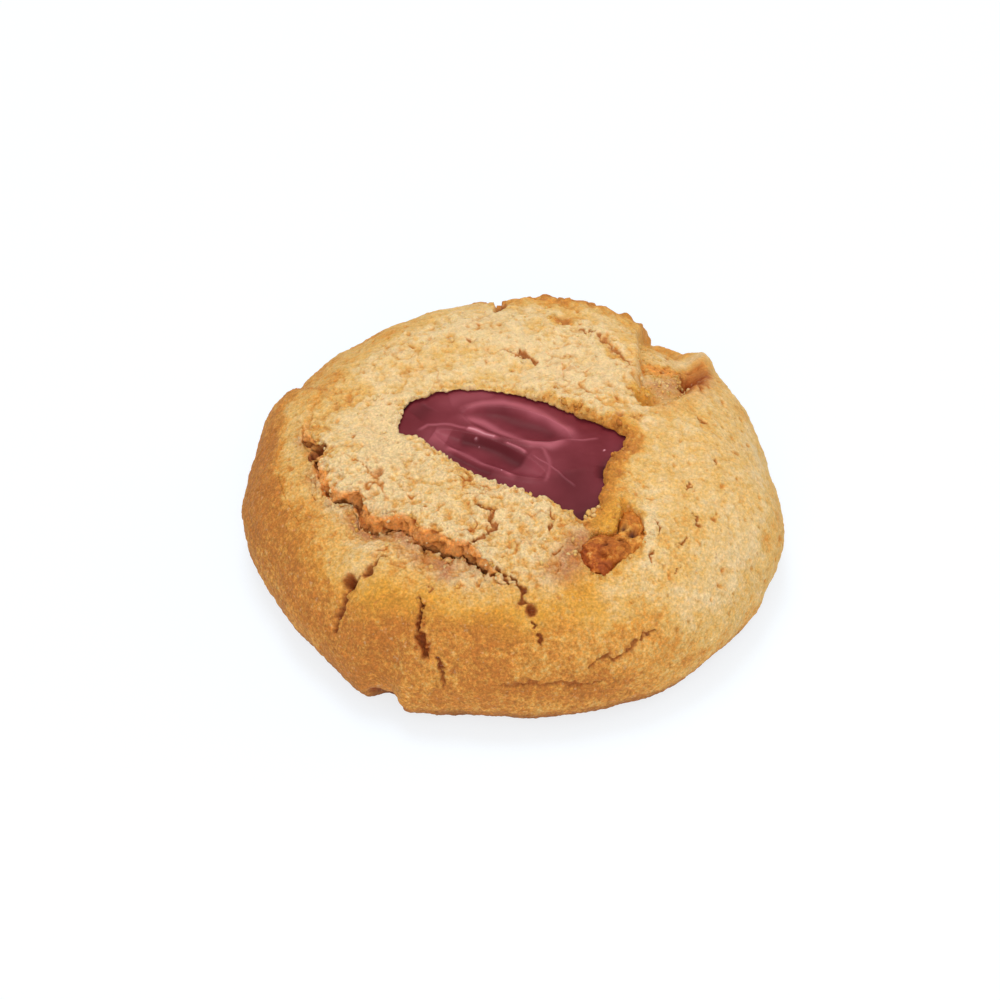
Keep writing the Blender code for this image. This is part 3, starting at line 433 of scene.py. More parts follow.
# Clouds in a colour as (size, detail, roughness, range of the noise from and to, what it becomes there).
DOUGH_CLOUDS = {
    "blotch": (4.0, 3.0, 0.6, 0.3, 0.7, -0.09, 0.09),
    "speckle": (0.6, 3.0, 0.7, 0.3, 0.7, -0.2, 0.2),
    "mottle": (1.6, 3.0, 0.65, 0.3, 0.7, -0.14, 0.14),
    "glow": (1.1, 2.0, 0.6, 0.3, 0.7, 0.5, 0.95),
    "rosy": (0.8, 3.0, 0.65, 0.35, 0.65, 0.5, 1.1),
    "face": (1.0, 3.0, 0.65, 0.3, 0.7, 0.7, 1.1),
    "hollow_shade": (0.9, 3.0, 0.65, 0.3, 0.7, 0.7, 1.15),
    "fine shade": (0.38, 2.0, 0.6, 0.32, 0.72, 0.76, 1.2),
    "toast shade": (0.8, 3.0, 0.7, 0.32, 0.68, 0.8, 1.16),
    "coarse shade": (1.0, 3.0, 0.7, 0.3, 0.6, 0.87, 1.04),
    "dark fleck": (0.55, 2.0, 0.6, 0.63, 0.72, 0.0, 0.38),
    "pale fleck": (0.9, 2.0, 0.6, 0.63, 0.75, 0.0, 0.2),
}
# Ranges of a value as (from, to, what it becomes there): how calm quiet skin is, how uneven and how shaded
# toasted skin is, and how hollow skin takes on its two colours of painted shade.
CALM = (0.0, 1.0, 1.0, 0.5)
UNEVEN = (0.1, 0.8, 0.5, 1.8)
SHADED = (0.25, 0.8, 0.0, 1.0)
HOLLOW_SHADE_TINTS = (((0.0, 0.5, 0.0, 0.9), SUNK_SHADE_COLOUR), ((0.3, 1.0, 0.0, 1.0), HOLLOW_SHADE_AND_FLECK))
DARK_SHARE = 0.95
DOUGH_SURFACE = {
    "Roughness": 0.8, "Specular IOR Level": 0.25, "Subsurface Weight": 0.2,
    "Subsurface Radius": (1.0, 0.5, 0.2), "Subsurface Scale": 1.2 * MM,
}
# Bumps of its surface, as (size, detail and roughness of the noise), height.
DOUGH_BUMPS = (((0.3, 3.0, 0.65), 0.1), ((0.75, 3.0, 0.65), 0.2))

# The light of a streak is a painted highlight, and the dark of a streak is painted shade.
# Streaks on the chocolate as (raised and light above 0 or sunk and dark below 0, half width, line).
STREAKS_AND_PAINTED_LIGHT = (
    (0.9, 0.85, ((-7.0, 7.0), (-4.6, 8.0), (-1.2, 8.0), (2.2, 6.8), (4.4, 5.1), (7.8, 2.5), (8.7, 1.0))),
    (0.85, 0.75, ((-7.4, 5.1), (-4.6, 4.3), (-2.4, 2.7), (1.0, 0.4), (2.8, -0.8), (5.6, -1.0), (7.8, 0.2))),
    (-0.5, 1.1, ((-4.6, 6.6), (-1.7, 6.2), (1.0, 4.3), (4.4, 2.7), (6.2, 1.0))),
    (0.6, 0.3, ((-14.0, 2.5), (-12.6, 3.7), (-9.2, 3.5), (-7.0, 2.7))),
    (1.5, 0.4, ((-7.0, 2.7), (-4.6, 1.6), (-2.5, 0.4))),
    (1.3, 0.3, ((-1.2, -0.6), (1.7, -2.6))),
    (-0.9, 1.2, ((-8.0, 0.8), (-4.2, -0.2), (-1.0, -2.4), (1.7, -4.3))),
    (0.8, 0.45, ((-10.1, -1.4), (-8.0, -2.0), (-4.6, -4.3), (-1.5, -6.1), (-0.2, -7.6))),
    (-0.6, 0.7, ((-9.4, -2.9), (-6.0, -4.9), (-3.2, -6.8))),
    (0.6, 0.14, ((2.8, -2.9), (5.6, -5.1), (9.0, -9.0))),
    (0.6, 0.16, ((5.6, -1.0), (7.8, 0.2), (10.0, 0.4), (12.4, 0.6))),
    (0.5, 0.35, ((3.5, -0.8), (4.7, -2.0), (5.4, -4.9), (4.7, -8.4))),
    (0.65, 1.8, ((-12.0, 1.4), (-9.6, 0.4))),
    (0.35, 1.5, ((-9.5, 8.6), (-6.4, 9.7), (-3.0, 10.4))),
    (0.35, 2.2, ((1.4, -3.6), (4.6, -6.4))),
    (-0.7, 1.6, ((-14.6, 5.6), (-12.6, 7.6))),
    (-0.55, 3.4, ((12.0, -21.0), (10.2, -14.6), (7.6, -6.0))),
    (-0.9, 2.2, ((12.6, -21.0), (11.0, -16.6), (9.7, -13.6))),
    (-1.1, 0.9, ((13.3, -5.0), (12.9, -7.4))),
)
# How high a streak is: for all of them, and the factors for raised and for sunk ones.
STREAK_HEIGHT = 0.16
STREAK_RISE = 1.2
STREAK_SINK = 1.8
# How much of a streak's amount is painted as highlight and as shade, and how steep and how full its ends are.
STREAK_HIGHLIGHT = 0.72
STREAK_SHADE = 0.85
STREAK_ENDS = (8.0, 0.4)
# Small painted glints on the chocolate, as (place, radius), and how bright they are.
GLINT_SPECKS = (((-5.5, 0.6), 0.22), ((-5.0, -0.6), 0.12), ((-1.7, -6.1), 0.16), ((13.4, -1.8), 0.14))
GLINT_SPECK_STRENGTH = 1.6
# The painted highlight from which a streak becomes a painted glint, and the range over which it does so
# fully.
PAINTED_GLINT_FROM = (0.88, 0.4)
# How far noise bends the streaks, the size of its lumps and its seeds.
STREAK_BEND = (0.3, 3.0, (95, 96))
# Colours of the chocolate: its two shades, its bloom, and its painted highlights, glints and shade.
CHOCOLATE = ((0.155, 0.016, 0.024), (0.215, 0.031, 0.044))
CHOCOLATE_BLOOM = (0.25, 0.04, 0.05)
CHOCOLATE_PAINTED_LIGHT = {"painted_highlight": (0.55, 0.145, 0.185), "painted_glint": (0.80, 0.42, 0.47), "painted_shade": (0.07, 0.005, 0.008)}
CHOCOLATE_CLOUDS = {
    "shade": (7.0, 3.0, 0.55, 0.35, 0.7, 0.0, 1.0),
    "bloom": (1.6, 4.0, 0.65, 0.55, 0.75, 0.0, 0.25),
    "roughness": (2.2, 3.0, 0.6, 0.3, 0.7, 0.38, 0.5),
}
# Bump of its surface, as (size, detail and roughness of the noise), height, strength, and how shiny it is.
CHOCOLATE_BUMP = ((0.5, 3.0, 0.6), 0.02, 0.4)
CHOCOLATE_SHINE = 0.14

# Pits in the browned chunk as (place, radius), how far they are sunk, and its rough skin.
CHUNK_PITS = (((17.1, -19.0), 0.7), ((15.9, -17.8), 0.5), ((13.2, -21.6), 0.35), ((15.4, -20.6), 0.4))
CHUNK_PIT_DEPTH = 0.6
CHUNK_ROUGH = ((0.32, 1.4, 91), (0.36, 0.7, 92), (0.24, 0.38, 93))
# Lighter upper part of the chunk: where along its axis it starts, over what length, and how frayed.
CHUNK_UPPER = (-5.4, 6.4)
CHUNK_UPPER_FRAY = ((1.5, 2.0, 94),)
# Colours of the chunk, as (value, colour), for its lower and its upper part, and the painted shade in its
# pits.
CHUNK_BROWNS = (
    ((0.0, (0.24, 0.042, 0.005)), (0.5, (0.36, 0.07, 0.008)), (0.8, (0.60, 0.17, 0.022)),
     (1.0, (0.76, 0.36, 0.09))),
    ((0.0, (0.44, 0.12, 0.014)), (0.5, (0.62, 0.21, 0.026)), (0.8, (0.78, 0.34, 0.055)),
     (1.0, (0.87, 0.50, 0.15))),
)
CHUNK_PIT_SHADE = (0.08, 0.015, 0.004)
CHUNK_CLOUDS = {
    "mottle": (1.5, 4.0, 0.65, 0.3, 0.7, 0.0, 1.0),
    "shade": (0.4, 2.0, 0.6, 0.32, 0.72, 0.8, 1.15),
}
CHUNK_BUMP = ((0.45, 3.0, 0.65), 0.16, 0.9)
CHUNK_SURFACE = {"Roughness": 0.6, "Specular IOR Level": 0.25}

# How far beyond the ends of a crack it is looked for, in crack half widths and in millimetres.
CRACK_MARGIN = (3.0, 2.0)
# Short fine cracks in the skin as (depth, line of places with the half width there).
MARKS = (
    (0.4, ((27.6, 6.3, 0.12), (28.0, 5.6, 0.16), (28.3, 4.9, 0.12))),
    (0.4, ((29.4, -2.8, 0.1), (29.8, -3.6, 0.16), (29.6, -4.4, 0.1))),
    (0.4, ((26.0, -8.1, 0.1), (26.2, -9.0, 0.16), (25.6, -9.8, 0.15))),
    (0.5, ((26.1, -13.2, 0.1), (26.5, -14.4, 0.2), (26.6, -15.4, 0.2))),
    (0.5, ((20.4, -16.3, 0.1), (20.8, -17.3, 0.18), (20.6, -18.3, 0.12))),
    (0.5, ((20.3, -20.8, 0.12), (19.9, -21.8, 0.2), (19.5, -22.8, 0.12))),
    (0.4, ((24.7, -17.8, 0.1), (24.6, -18.8, 0.2), (23.9, -19.7, 0.12))),
    (0.4, ((24.0, -22.7, 0.1), (23.2, -23.3, 0.16))),
    (0.4, ((1.9, 17.2, 0.15), (0.2, 17.9, 0.2), (-1.9, 18.6, 0.15))),
    (0.4, ((13.2, 21.3, 0.15), (14.2, 21.4, 0.21), (15.2, 20.1, 0.2))),
    (0.4, ((5.3, -14.8, 0.12), (5.6, -16.4, 0.18), (5.3, -17.9, 0.12))),
    (0.4, ((7.0, -21.0, 0.12), (6.5, -21.8, 0.16), (5.8, -22.6, 0.12))),
    (0.4, ((6.7, -24.1, 0.1), (6.4, -25.3, 0.2))),
    (0.4, ((-28.9, -8.6, 0.2), (-29.1, -7.7, 0.21))),
    (0.4, ((-28.3, -12.2, 0.2), (-27.7, -11.8, 0.21))),
    (0.4, ((-8.3, -21.3, 0.15), (-9.4, -22.0, 0.2), (-8.9, -22.9, 0.12))),
    (0.4, ((10.0, 24.5, 0.15), (11.6, 23.6, 0.21), (12.4, 23.9, 0.15))),
    (0.4, ((-7.5, 22.0, 0.12), (-6.1, 21.3, 0.18), (-4.4, 21.8, 0.12))),
)

# Loose crumbs: how many, their smallest and largest radius, how rare the large ones are, and the seed.
CRUMBS = 620
CRUMB_SIZES = (0.14, 0.4)
CRUMB_SIZE_POWER = 2.5
CRUMB_SEED = 17
# Where they lie: on the brink and below the break as (share, place beyond the ledge, half width), on the
# lip as (share, more on its browned stretch, place beyond the opening, half width), in the crater as
# (share, distance inside it), by the chunk as (share, reach), and on the cream top.
BREAK_CRUMBS = ((0.7, -0.5, 0.5), (0.5, 1.9, 0.9))
LIP_CRUMBS = (0.35, 1.6, 0.5, 0.6)
CRATER_CRUMBS = (0.6, 0.5)
CHUNK_CRUMBS = (0.9, 1.6)
CREAM_CRUMBS = 0.05
# None lie where the share is below this.
LEAST_SHARE = 0.02
# Browned stretch of the lip, as (bearing, half width), and how much browner its crumbs are.
BROWNED_STRETCH = (40.0, 22.0)
BROWNED_STRETCH_TOAST = 0.45
# Their form: stretched between these factors, with lumps of noise taken this far apart, and lifted by this
# share of the size. Their colour differs between these limits.
CRUMB_STRETCH = (0.65, 1.2)
CRUMB_LUMPS = ((0.4, 0.9, 97),)
CRUMB_SPACING = 9.0
CRUMB_LIFT = 0.25
CRUMB_TINT = (-0.1, 0.12)
# Larger crumbs that bridge the tip of the opening, as (place, radius), how far above the edge of the
# chocolate they lie, and how toasted, glowing and quiet they are.
TIP_CRUMBS = (
    ((10.9, -15.2), 0.45), ((11.6, -14.7), 0.38), ((10.4, -16.0), 0.42), ((12.3, -14.0), 0.35),
    ((11.6, -15.7), 0.45),
)
TIP_LIFT = 0.3
TIP_COLOUR = (0.2, 0.5, 0.6)

# Camera: degrees above the table, distance, the point it looks at, and its lens.
CAMERA_TILT = 46.0
CAMERA_DISTANCE = 600.0
CAMERA_AIM = (-1.95, 0.0, 8.9)
CAMERA_LENS = 144.3
# Lamps as (name, place and diameter in metres, power, colour).
LAMPS = (
    ("key", (-0.08, 0.25, 0.8), 0.35, 2.25, (1.0, 0.985, 0.96)),
    ("right", (0.62, 0.22, 0.42), 0.4, 0.65, (1.0, 0.985, 0.96)),
    ("front", (-0.05, -0.75, 0.5), 0.6, 3.1, (1.0, 0.99, 0.97)),
)
LAMP_AIM = (0.0, 0.0, 0.01)
# Floor: half its width in metres, and its surface, which glows so that it is even.
FLOOR_HALF = 3.0
FLOOR_SURFACE = {
    "Base Color": (0.26, 0.315, 0.37, 1.0), "Roughness": 0.9, "Specular IOR Level": 0.0,
    "Emission Color": (1.0, 1.0, 1.0, 1.0), "Emission Strength": 0.71,
}
# Grey of the studio at the horizon and straight above, and its strength.
STUDIO_GREYS = ((0.0, 0.42), (1.0, 0.95))
STUDIO_STRENGTH = 0.75


def ramp(share):
    """0 below 0, 1 above 1 and a smooth rise between."""
    share = np.clip(share, 0.0, 1.0)
    return share * share * (3.0 - 2.0 * share)


def along(stations, places):
    """Smooth curve through (place, value) stations, which never runs beyond two neighbours' values."""
    known = np.array(stations, float)
    x, y = known[:, 0], known[:, 1]
    slope = np.diff(y) / np.diff(x)
    same_way = slope[:-1] * slope[1:] > 0.0
    total = np.where(same_way, slope[:-1] + slope[1:], 1.0)
    turn = np.where(same_way, 2.0 * slope[:-1] * slope[1:] / total, 0.0)
    tangent = np.concatenate((slope[:1], turn, slope[-1:]))
    places = np.clip(places, x[0], x[-1])
    left = np.clip(np.searchsorted(x, places, side="right") - 1, 0, len(x) - 2)
    width = x[left + 1] - x[left]
    share = (places - x[left]) / width
    square = share * share
    cube = square * share
    return (
        y[left] * (2.0 * cube - 3.0 * square + 1.0)
        + y[left + 1] * (3.0 * square - 2.0 * cube)
        + tangent[left] * width * (cube - 2.0 * square + share)
        + tangent[left + 1] * width * (cube - square)
    )


def around(stations, bearings):
    """The same for (bearing, value) stations that close on themselves."""
    turn = [(place - 360.0, value) for place, value in stations[-3:]]
    back = [(place + 360.0, value) for place, value in stations[:3]]
    return along((*turn, *stations, *back), np.mod(bearings, 360.0))


DIRECTIONS = np.random.default_rng(5).normal(size=(256, 3))
DIRECTIONS /= np.linalg.norm(DIRECTIONS, axis=1)[:, None]


def noise(points, size, seed):
    """Smooth noise, mostly between -1 and 1, with lumps about size across."""
    cell = np.floor(points / size).astype(np.int64)
    part = points / size - cell
    weight = part**3 * (part * (part * 6.0 - 15.0) + 10.0)
    total = np.zeros(points.shape[:-1])
    for corner in np.ndindex(2, 2, 2):
        spot = cell + np.array(corner)
        mixed = spot[..., 0] * 73856093 ^ spot[..., 1] * 19349663 ^ spot[..., 2] * 83492791
        mixed = (((mixed ^ seed * 2971215) & 0xFFFFFFFF) * 1274126177) & 0xFFFFFFFF
        slope = (DIRECTIONS[(mixed >> 15) & 255] * (part - corner)).sum(axis=-1)
        share = np.where(np.array(corner, bool), weight, 1.0 - weight).prod(axis=-1)
        total += slope * share
    return total * 1.8


def summed_noise(points, layers, start=0.0):
    """Layers of noise added to the start, each given as (height, size of the lumps, seed)."""
    return sum((height * noise(points, size, seed) for height, size, seed in layers), start)


def ragged(bearings, radius, layers):
    """Layers of noise round a circle, so that they close on themselves."""
    turn = np.radians(bearings)
    circle = np.stack((np.cos(turn), np.sin(turn), np.zeros_like(turn)), axis=-1)
    return summed_noise(radius * circle, layers)


def turned(x, y, bearing):
    """The coordinates along and across a line at this bearing."""
    turn = np.radians(bearing)
    return x * np.cos(turn) + y * np.sin(turn), y * np.cos(turn) - x * np.sin(turn)


def slab_share(x, y, grown=0.0):
    """0 at the middle of the slab's plan and 1 at its edge."""
    u, w = turned(x, y, SLAB_BEARING)
    u = np.abs(u - SLAB_CENTRE[0]) / (SLAB_HALF[0] + grown)
    w = np.abs(w - SLAB_CENTRE[1]) / (SLAB_HALF[1] + grown)
    return (u**SLAB_CORNER + w**SLAB_CORNER) ** (1.0 / SLAB_CORNER)


def slab_radius(bearings, grown=0.0):
    """Distance from the middle of the cookie to the slab's edge, found by halving."""
    turn = np.radians(bearings)
    low = np.zeros_like(turn)
    high = np.full_like(turn, 2.0 * SLAB_HALF[0])
    for _ in range(40):
        middle = (low + high) / 2.0
        inside = slab_share(middle * np.cos(turn), middle * np.sin(turn), grown) < 1.0
        low = np.where(inside, middle, low)
        high = np.where(inside, high, middle)
    return low


def slab_top(x, y):
    """Height of the chocolate's top face: a low crown with the two hollows and their raised rims."""
    height = SLAB_TOP - SLAB_CROWN * slab_share(x, y) ** 2
    for centre, bearing, half_length, half_width, depth in HOLLOWS:
        u, w = turned(x - centre[0], y - centre[1], bearing)
        taper = np.clip(1.0 - (u / half_length) ** 2, 0.0, 1.0)
        width = half_width * np.maximum(taper, HOLLOW_NARROWEST) ** HOLLOW_NARROWING
        share = np.abs(w) / width
        bowl = np.where(share < 1.0, (1.0 - share**2) * taper, 0.0)
        rim_height, rim_width = HOLLOW_RIM
        rim = rim_height * np.exp(-(((share - 1.0) * width / rim_width) ** 2)) * ramp(taper * RIM_FADE)
        height = height - depth * bowl + rim
    return height


def near_path(places, path):
    """Distance of each place from a line of points, and how far along it the nearest point lies."""
    path = np.array(path, float)
    lengths = np.linalg.norm(np.diff(path, axis=0), axis=1)
    before = np.concatenate(([0.0], np.cumsum(lengths)))
    best = np.full(places.shape[:-1], np.inf)
    share = np.zeros(places.shape[:-1])
    for start, end, length, done in zip(path[:-1], path[1:], lengths, before):
        way = (end - start) / length
        step = np.clip((places - start) @ way, 0.0, length)
        gap = np.linalg.norm(places - start - step[..., None] * way, axis=-1)
        closer = gap < best
        best = np.where(closer, gap, best)
        share = np.where(closer, (done + step) / before[-1], share)
    return best, share


def within(places, outline):
    """Distance of each place inside a closed outline, and below 0 outside it."""
    closed = (*outline, outline[0])
    gap, _ = near_path(places, closed)
    x, y = places[..., 0], places[..., 1]
    inside = np.zeros(x.shape, bool)
    for (x0, y0), (x1, y1) in zip(closed, closed[1:]):
        crosses = (y0 > y) != (y1 > y)
        inside ^= crosses & (x < x0 + (y - y0) * (x1 - x0) / (y1 - y0 if y1 != y0 else 1.0))
    return np.where(inside, gap, -gap)


def left_of(places, path):
    """Whether each place lies to the left of a line of points, judged by the nearest stretch."""
    path = np.array(path, float)
    best = np.full(places.shape[:-1], np.inf)
    left = np.zeros(places.shape[:-1], bool)
    for start, end in zip(path[:-1], path[1:]):
        way = end - start
        offset = places - start
        share = np.clip(offset @ way / (way @ way), 0.0, 1.0)
        gap = np.linalg.norm(offset - share[..., None] * way, axis=-1)
        closer = gap < best
        best = np.where(closer, gap, best)
        left = np.where(closer, way[0] * offset[..., 1] - way[1] * offset[..., 0] > 0.0, left)
    return left


def ledge_radius(bearings):
    """Radius of the plateau's broken edge."""
    return around(LEDGE, bearings) + ragged(bearings, LEDGE_NOISE_RADIUS, LEDGE_NOISE)


def section(bearings, fineness):
    """Radius, height and distance along the skin for each ring, and how rough each ring is.

    Every column of the four arrays belongs to one bearing, and every row to one ring.
    """
    rings = []

    def ring(*values):
        rings.append([np.broadcast_to(value, bearings.shape) for value in values])

    def count(stretch):
        return max(2, round(RINGS[stretch] * fineness))

    outline = around(OUTLINE, bearings)
    opening = around(OPENING, bearings) + ragged(bearings, OPENING_NOISE_RADIUS, OPENING_NOISE)
    pocket = slab_radius(bearings, GAP)
    opening = np.minimum(opening, pocket - LIP_TUCK)
    ledge = ledge_radius(bearings)
    step_down = around(STEP_DOWN, bearings)
    broken = ramp(step_down / WHOLLY_BROKEN)
    lip_width = around(LIP_WIDTH, bearings)
    swell = around(LIP_SWELL, bearings)

    def plateau(radius):
        near_lip = 1.0 - ramp((radius - opening - lip_width) / SWELL_REACH)
        near_brink = ramp((radius - ledge) / STEP_REACH + 1.0) * broken
        return along(DOME, radius / outline) + swell * near_lip + BRINK_LIFT * near_brink

    def golden(radius):
        near_ledge = 1.0 - ramp((radius - ledge) / STEP_REACH)
        return along(DOME, radius / outline) - step_down * near_ledge

    # Pocket that holds the chocolate, open upwards inside the lip.
    turn = np.radians(bearings)
    tuck = np.minimum(opening + LIP_TUCK, pocket)
    lip_foot = slab_top(tuck * np.cos(turn), tuck * np.sin(turn)) + GAP
    for share in np.linspace(0.0, 1.0, count("pocket floor")):
        ring(share * pocket, SLAB_BOTTOM - GAP, share * pocket, 0.0)
    for share in np.linspace(0.0, 1.0, count("pocket wall"))[1:]:
        ring(pocket, SLAB_BOTTOM - GAP + share * (lip_foot - SLAB_BOTTOM + GAP), pocket, 0.0)
    for share in np.linspace(0.0, 1.0, count("under the lip"))[1:]:
        ring(pocket + share * (tuck - pocket), lip_foot, tuck, 0.0)

    # Lip: a quarter round from the foot up to the plateau.
    crest = opening + lip_width
    rise = plateau(crest) - lip_foot
    for share in np.linspace(0.0, 1.0, count("lip")):
        angle = share * np.pi / 2.0
        radius = opening + lip_width * (1.0 - np.cos(angle))
        height = lip_foot + LIP_FOOT_STEP + (rise - LIP_FOOT_STEP) * np.sin(angle)
        ring(radius, height, radius, LIP_FOOT_ROUGH + (1.0 - LIP_FOOT_ROUGH) * share)

    # Plateau out to its broken edge.
    brink = ledge - BRINK_INSET
    for share in np.linspace(0.0, 1.0, count("plateau"))[1:]:
        radius = crest + share * (brink - crest)
        ring(radius, plateau(radius), radius, 1.0)

    # Broken edge: rounded brink, steep face, crack below it and the start of the ring.
    rows = []
    for offset, drop, sink in EDGE:
        radius = ledge + offset
        if drop is not None:
            smooth = plateau(radius)
            cracked = plateau(ledge) - drop
        else:
            smooth = golden(radius)
            cracked = golden(ledge) - sink * CRACK_UNDER_STEP
        rows.append((radius, smooth + broken * (cracked - smooth)))
    for (radius, height), (next_radius, next_height) in zip(rows, rows[1:]):
        for share in np.linspace(0.0, 1.0, count("each row of the break"))[:-1]:
            reached_radius = radius + share * (next_radius - radius)
            ring(reached_radius, height + share * (next_height - height), reached_radius, 1.0)

    # Golden ring out to the shoulder.
    inner = ledge + EDGE[-1][0]
    shoulder = DOME[-2][0] * outline
    for share in np.linspace(0.0, 1.0, count("golden ring")):
        radius = inner + share * (shoulder - inner)
        ring(radius, golden(radius), radius, 1.0)

    # Side, from the shoulder round to the foot.
    side = np.array(SIDE)
    steps = np.linalg.norm(np.diff(side * (MEAN_RADIUS, 1.0), axis=0), axis=1)
    reached = np.concatenate(([0.0], np.cumsum(steps)))
    for distance in np.linspace(0.0, reached[-1], count("side"))[1:]:
        share = along(np.stack((reached, side[:, 0]), axis=1), distance)
        height = along(np.stack((reached, side[:, 1]), axis=1), distance)
        rough = 1.0 - ramp((distance - reached[-2]) / (reached[-1] - reached[-2]))
        ring(share * outline, height, shoulder + distance, rough)

    # Flat underside.
    foot = side[-1][0] * outline
    for share in np.linspace(1.0, 0.0, count("underside"))[1:]:
        ring(share * foot, 0.0, shoulder + reached[-1], 0.0)
    return [np.array(rows) for rows in zip(*rings)]


def crack_share(points, places, path):
    """1 at the bottom of a crack, falling to 0 at its sides."""
    bend = np.stack([summed_noise(points + shift, CRACK_BEND) for shift in (0.0, 50.0)], axis=-1)
    gap, share = near_path(places + bend, [place[:2] for place in path])
    widths = np.array([place[2] for place in path])
    lengths = np.linalg.norm(np.diff([place[:2] for place in path], axis=0), axis=1)
    reached = np.concatenate(([0.0], np.cumsum(lengths))) / lengths.sum()
    waver, size, seed = CRACK_WAVER
    wavering = np.clip(1.0 + waver * noise(points, size, seed), *CRACK_WAVER_LIMITS)
    width = np.interp(share, reached, widths) * wavering
    return np.exp(-((gap / width) ** CRACK_SHARPNESS))


def relief(points, places, rough):
    """How far each point of the skin stands out from the smooth form."""
    plan = np.linalg.norm(places, axis=-1)
    bearing = np.degrees(np.arctan2(places[..., 1], places[..., 0]))
    low, high, size, seed = LUMPS
    crumbly = 1.0 - ramp((plan - CRUMBLY_TO[0]) / CRUMBLY_TO[1])
    rise = summed_noise(points, SWELLS) + (low + (high - low) * crumbly) * noise(points, size, seed)

    even, uneven, crumb_size, crumb_seed = RIDGE_CRUMBS
    ridge = ramp(RIDGE_END * (1.0 - np.abs(bearing - RIDGE_BEARING[0]) / RIDGE_BEARING[1]))
    ridge = ridge * ramp(1.0 - np.abs(plan - RIDGE_PLACE[0]) / RIDGE_PLACE[1])
    rise = rise + RIDGE_HEIGHT * ridge * (even + uneven * noise(points, crumb_size, crumb_seed))

    for depth, path in CRACKS:
        rise = rise - depth * crack_share(points, places, path)
    for height, reach, line in FLAPS:
        gap, share = near_path(places, line)
        flap = np.where(left_of(places, line), np.exp(-((gap / reach) ** 2)), 0.0)
        rise = rise + height * flap * ramp(share / FLAP_TAPER)
    inside = within(places, CRATER) + summed_noise(points, CRATER_NOISE)
    rise = rise - CRATER_DEPTH * ramp(inside / CRATER_WALL)
    for place, radius, depth in (*PITS, *CRATER_PITS):
        gap = np.linalg.norm(places - np.array(place), axis=-1)
        rise = rise - depth * np.exp(-((gap / radius) ** PIT_SHARPNESS))
    return rise * rough


def ring_faces(rings, columns):
    """Faces of a closed sheet whose first and last rings are single points."""
    first = np.arange(columns)
    following = (first + 1) % columns
    faces = [(0, 1 + a, 1 + b) for a, b in zip(first, following)]
    for row in range(rings - 3):
        low = 1 + row * columns
        high = low + columns
        faces += [(low + a, high + a, high + b, low + b) for a, b in zip(first, following)]
    low = 1 + (rings - 3) * columns
    last = low + columns
    faces += [(low + a, last, low + b) for a, b in zip(first, following)]
    return faces


def closed_points(rows):
    """Rings by columns as one list, whose first and last rings are single points on the axis."""
    first = (0.0, 0.0, rows[0, 0, 2])
    last = (0.0, 0.0, rows[-1, 0, 2])
    return np.concatenate(([first], rows[1:-1].reshape(-1, 3), [last]))


def slab_rows(columns, rings_on_top):
    """Points of the slab's surface as rings by columns: top face, rounded edge, underside."""
    bearings = np.arange(columns) * 360.0 / columns
    turn = np.radians(bearings)
    edge = slab_radius(bearings)
    rows = []

    def row(radius, height):
        rows.append(np.stack((radius * np.cos(turn), radius * np.sin(turn), height), axis=-1))

    for share in np.linspace(0.0, 1.0, rings_on_top):
        radius = share * (edge - SLAB_EDGE)
        row(radius, slab_top(radius * np.cos(turn), radius * np.sin(turn)))
    rim = rows[-1][:, 2]
    for angle in np.radians(TOP_EDGE_ANGLES):
        row(edge - SLAB_EDGE * (1.0 - np.sin(angle)), rim - SLAB_EDGE * (1.0 - np.cos(angle)))
    for angle in np.radians(BOTTOM_EDGE_ANGLES):
        height = np.full(columns, SLAB_BOTTOM + SLAB_EDGE * (1.0 - np.sin(angle)))
        row(edge - SLAB_EDGE * (1.0 - np.cos(angle)), height)
    for share in (0.5, 0.0):
        row(share * (edge - SLAB_EDGE), np.full(columns, SLAB_BOTTOM))
    return np.array(rows)


def chunk_section(along_axis):
    """Where the middle of the chunk lies across its axis, and its half width there."""
    middles = [(place, middle) for place, middle, _ in CHUNK_PLAN]
    widths = [(place, half_width) for place, _, half_width in CHUNK_PLAN]
    return along(middles, along_axis), along(widths, along_axis)


def ball_mesh(subdivisions):
    """Points and faces of a round ball with a radius of 1."""
    ball = bmesh.new()
    bmesh.ops.create_icosphere(ball, subdivisions=subdivisions, radius=1.0)
    points = np.array([vertex.co[:] for vertex in ball.verts])
    faces = [[vertex.index for vertex in face.verts] for face in ball.faces]
    ball.free()
    return points, faces


def chunk_form(subdivisions):
    """Points and faces of the chunk, a bent, lumpy long ball."""
    sphere, faces = ball_mesh(subdivisions)
    fullness = (np.abs(sphere) ** CHUNK_FULLNESS).sum(axis=1) ** (-1.0 / CHUNK_FULLNESS)
    full = sphere * fullness[:, None]
    centre = (CHUNK_ENDS[0] + CHUNK_ENDS[1]) / 2.0
    half_length = (CHUNK_ENDS[1] - CHUNK_ENDS[0]) / 2.0
    reached = centre + full[:, 0] * half_length
    middle, half_width = chunk_section(reached)
    form = np.stack((reached, middle + full[:, 1] * half_width, full[:, 2] * CHUNK_HALF_HEIGHT), axis=-1)
    aside = np.linalg.norm(sphere - np.array(CHUNK_DENT_PLACE), axis=1)
    inward = CHUNK_DENT * np.exp(-((aside / CHUNK_DENT_SIZE) ** 2))
    form += sphere * (summed_noise(form, CHUNK_NOISE) - inward)[:, None]
    along_axis, across, upward = form.T
    across, upward = turned(across, upward, -CHUNK_TILT)
    x, y = turned(along_axis, across, -CHUNK_BEARING)
    return np.stack((x, y, upward), axis=-1) + np.array(CHUNK_CENTRE), faces


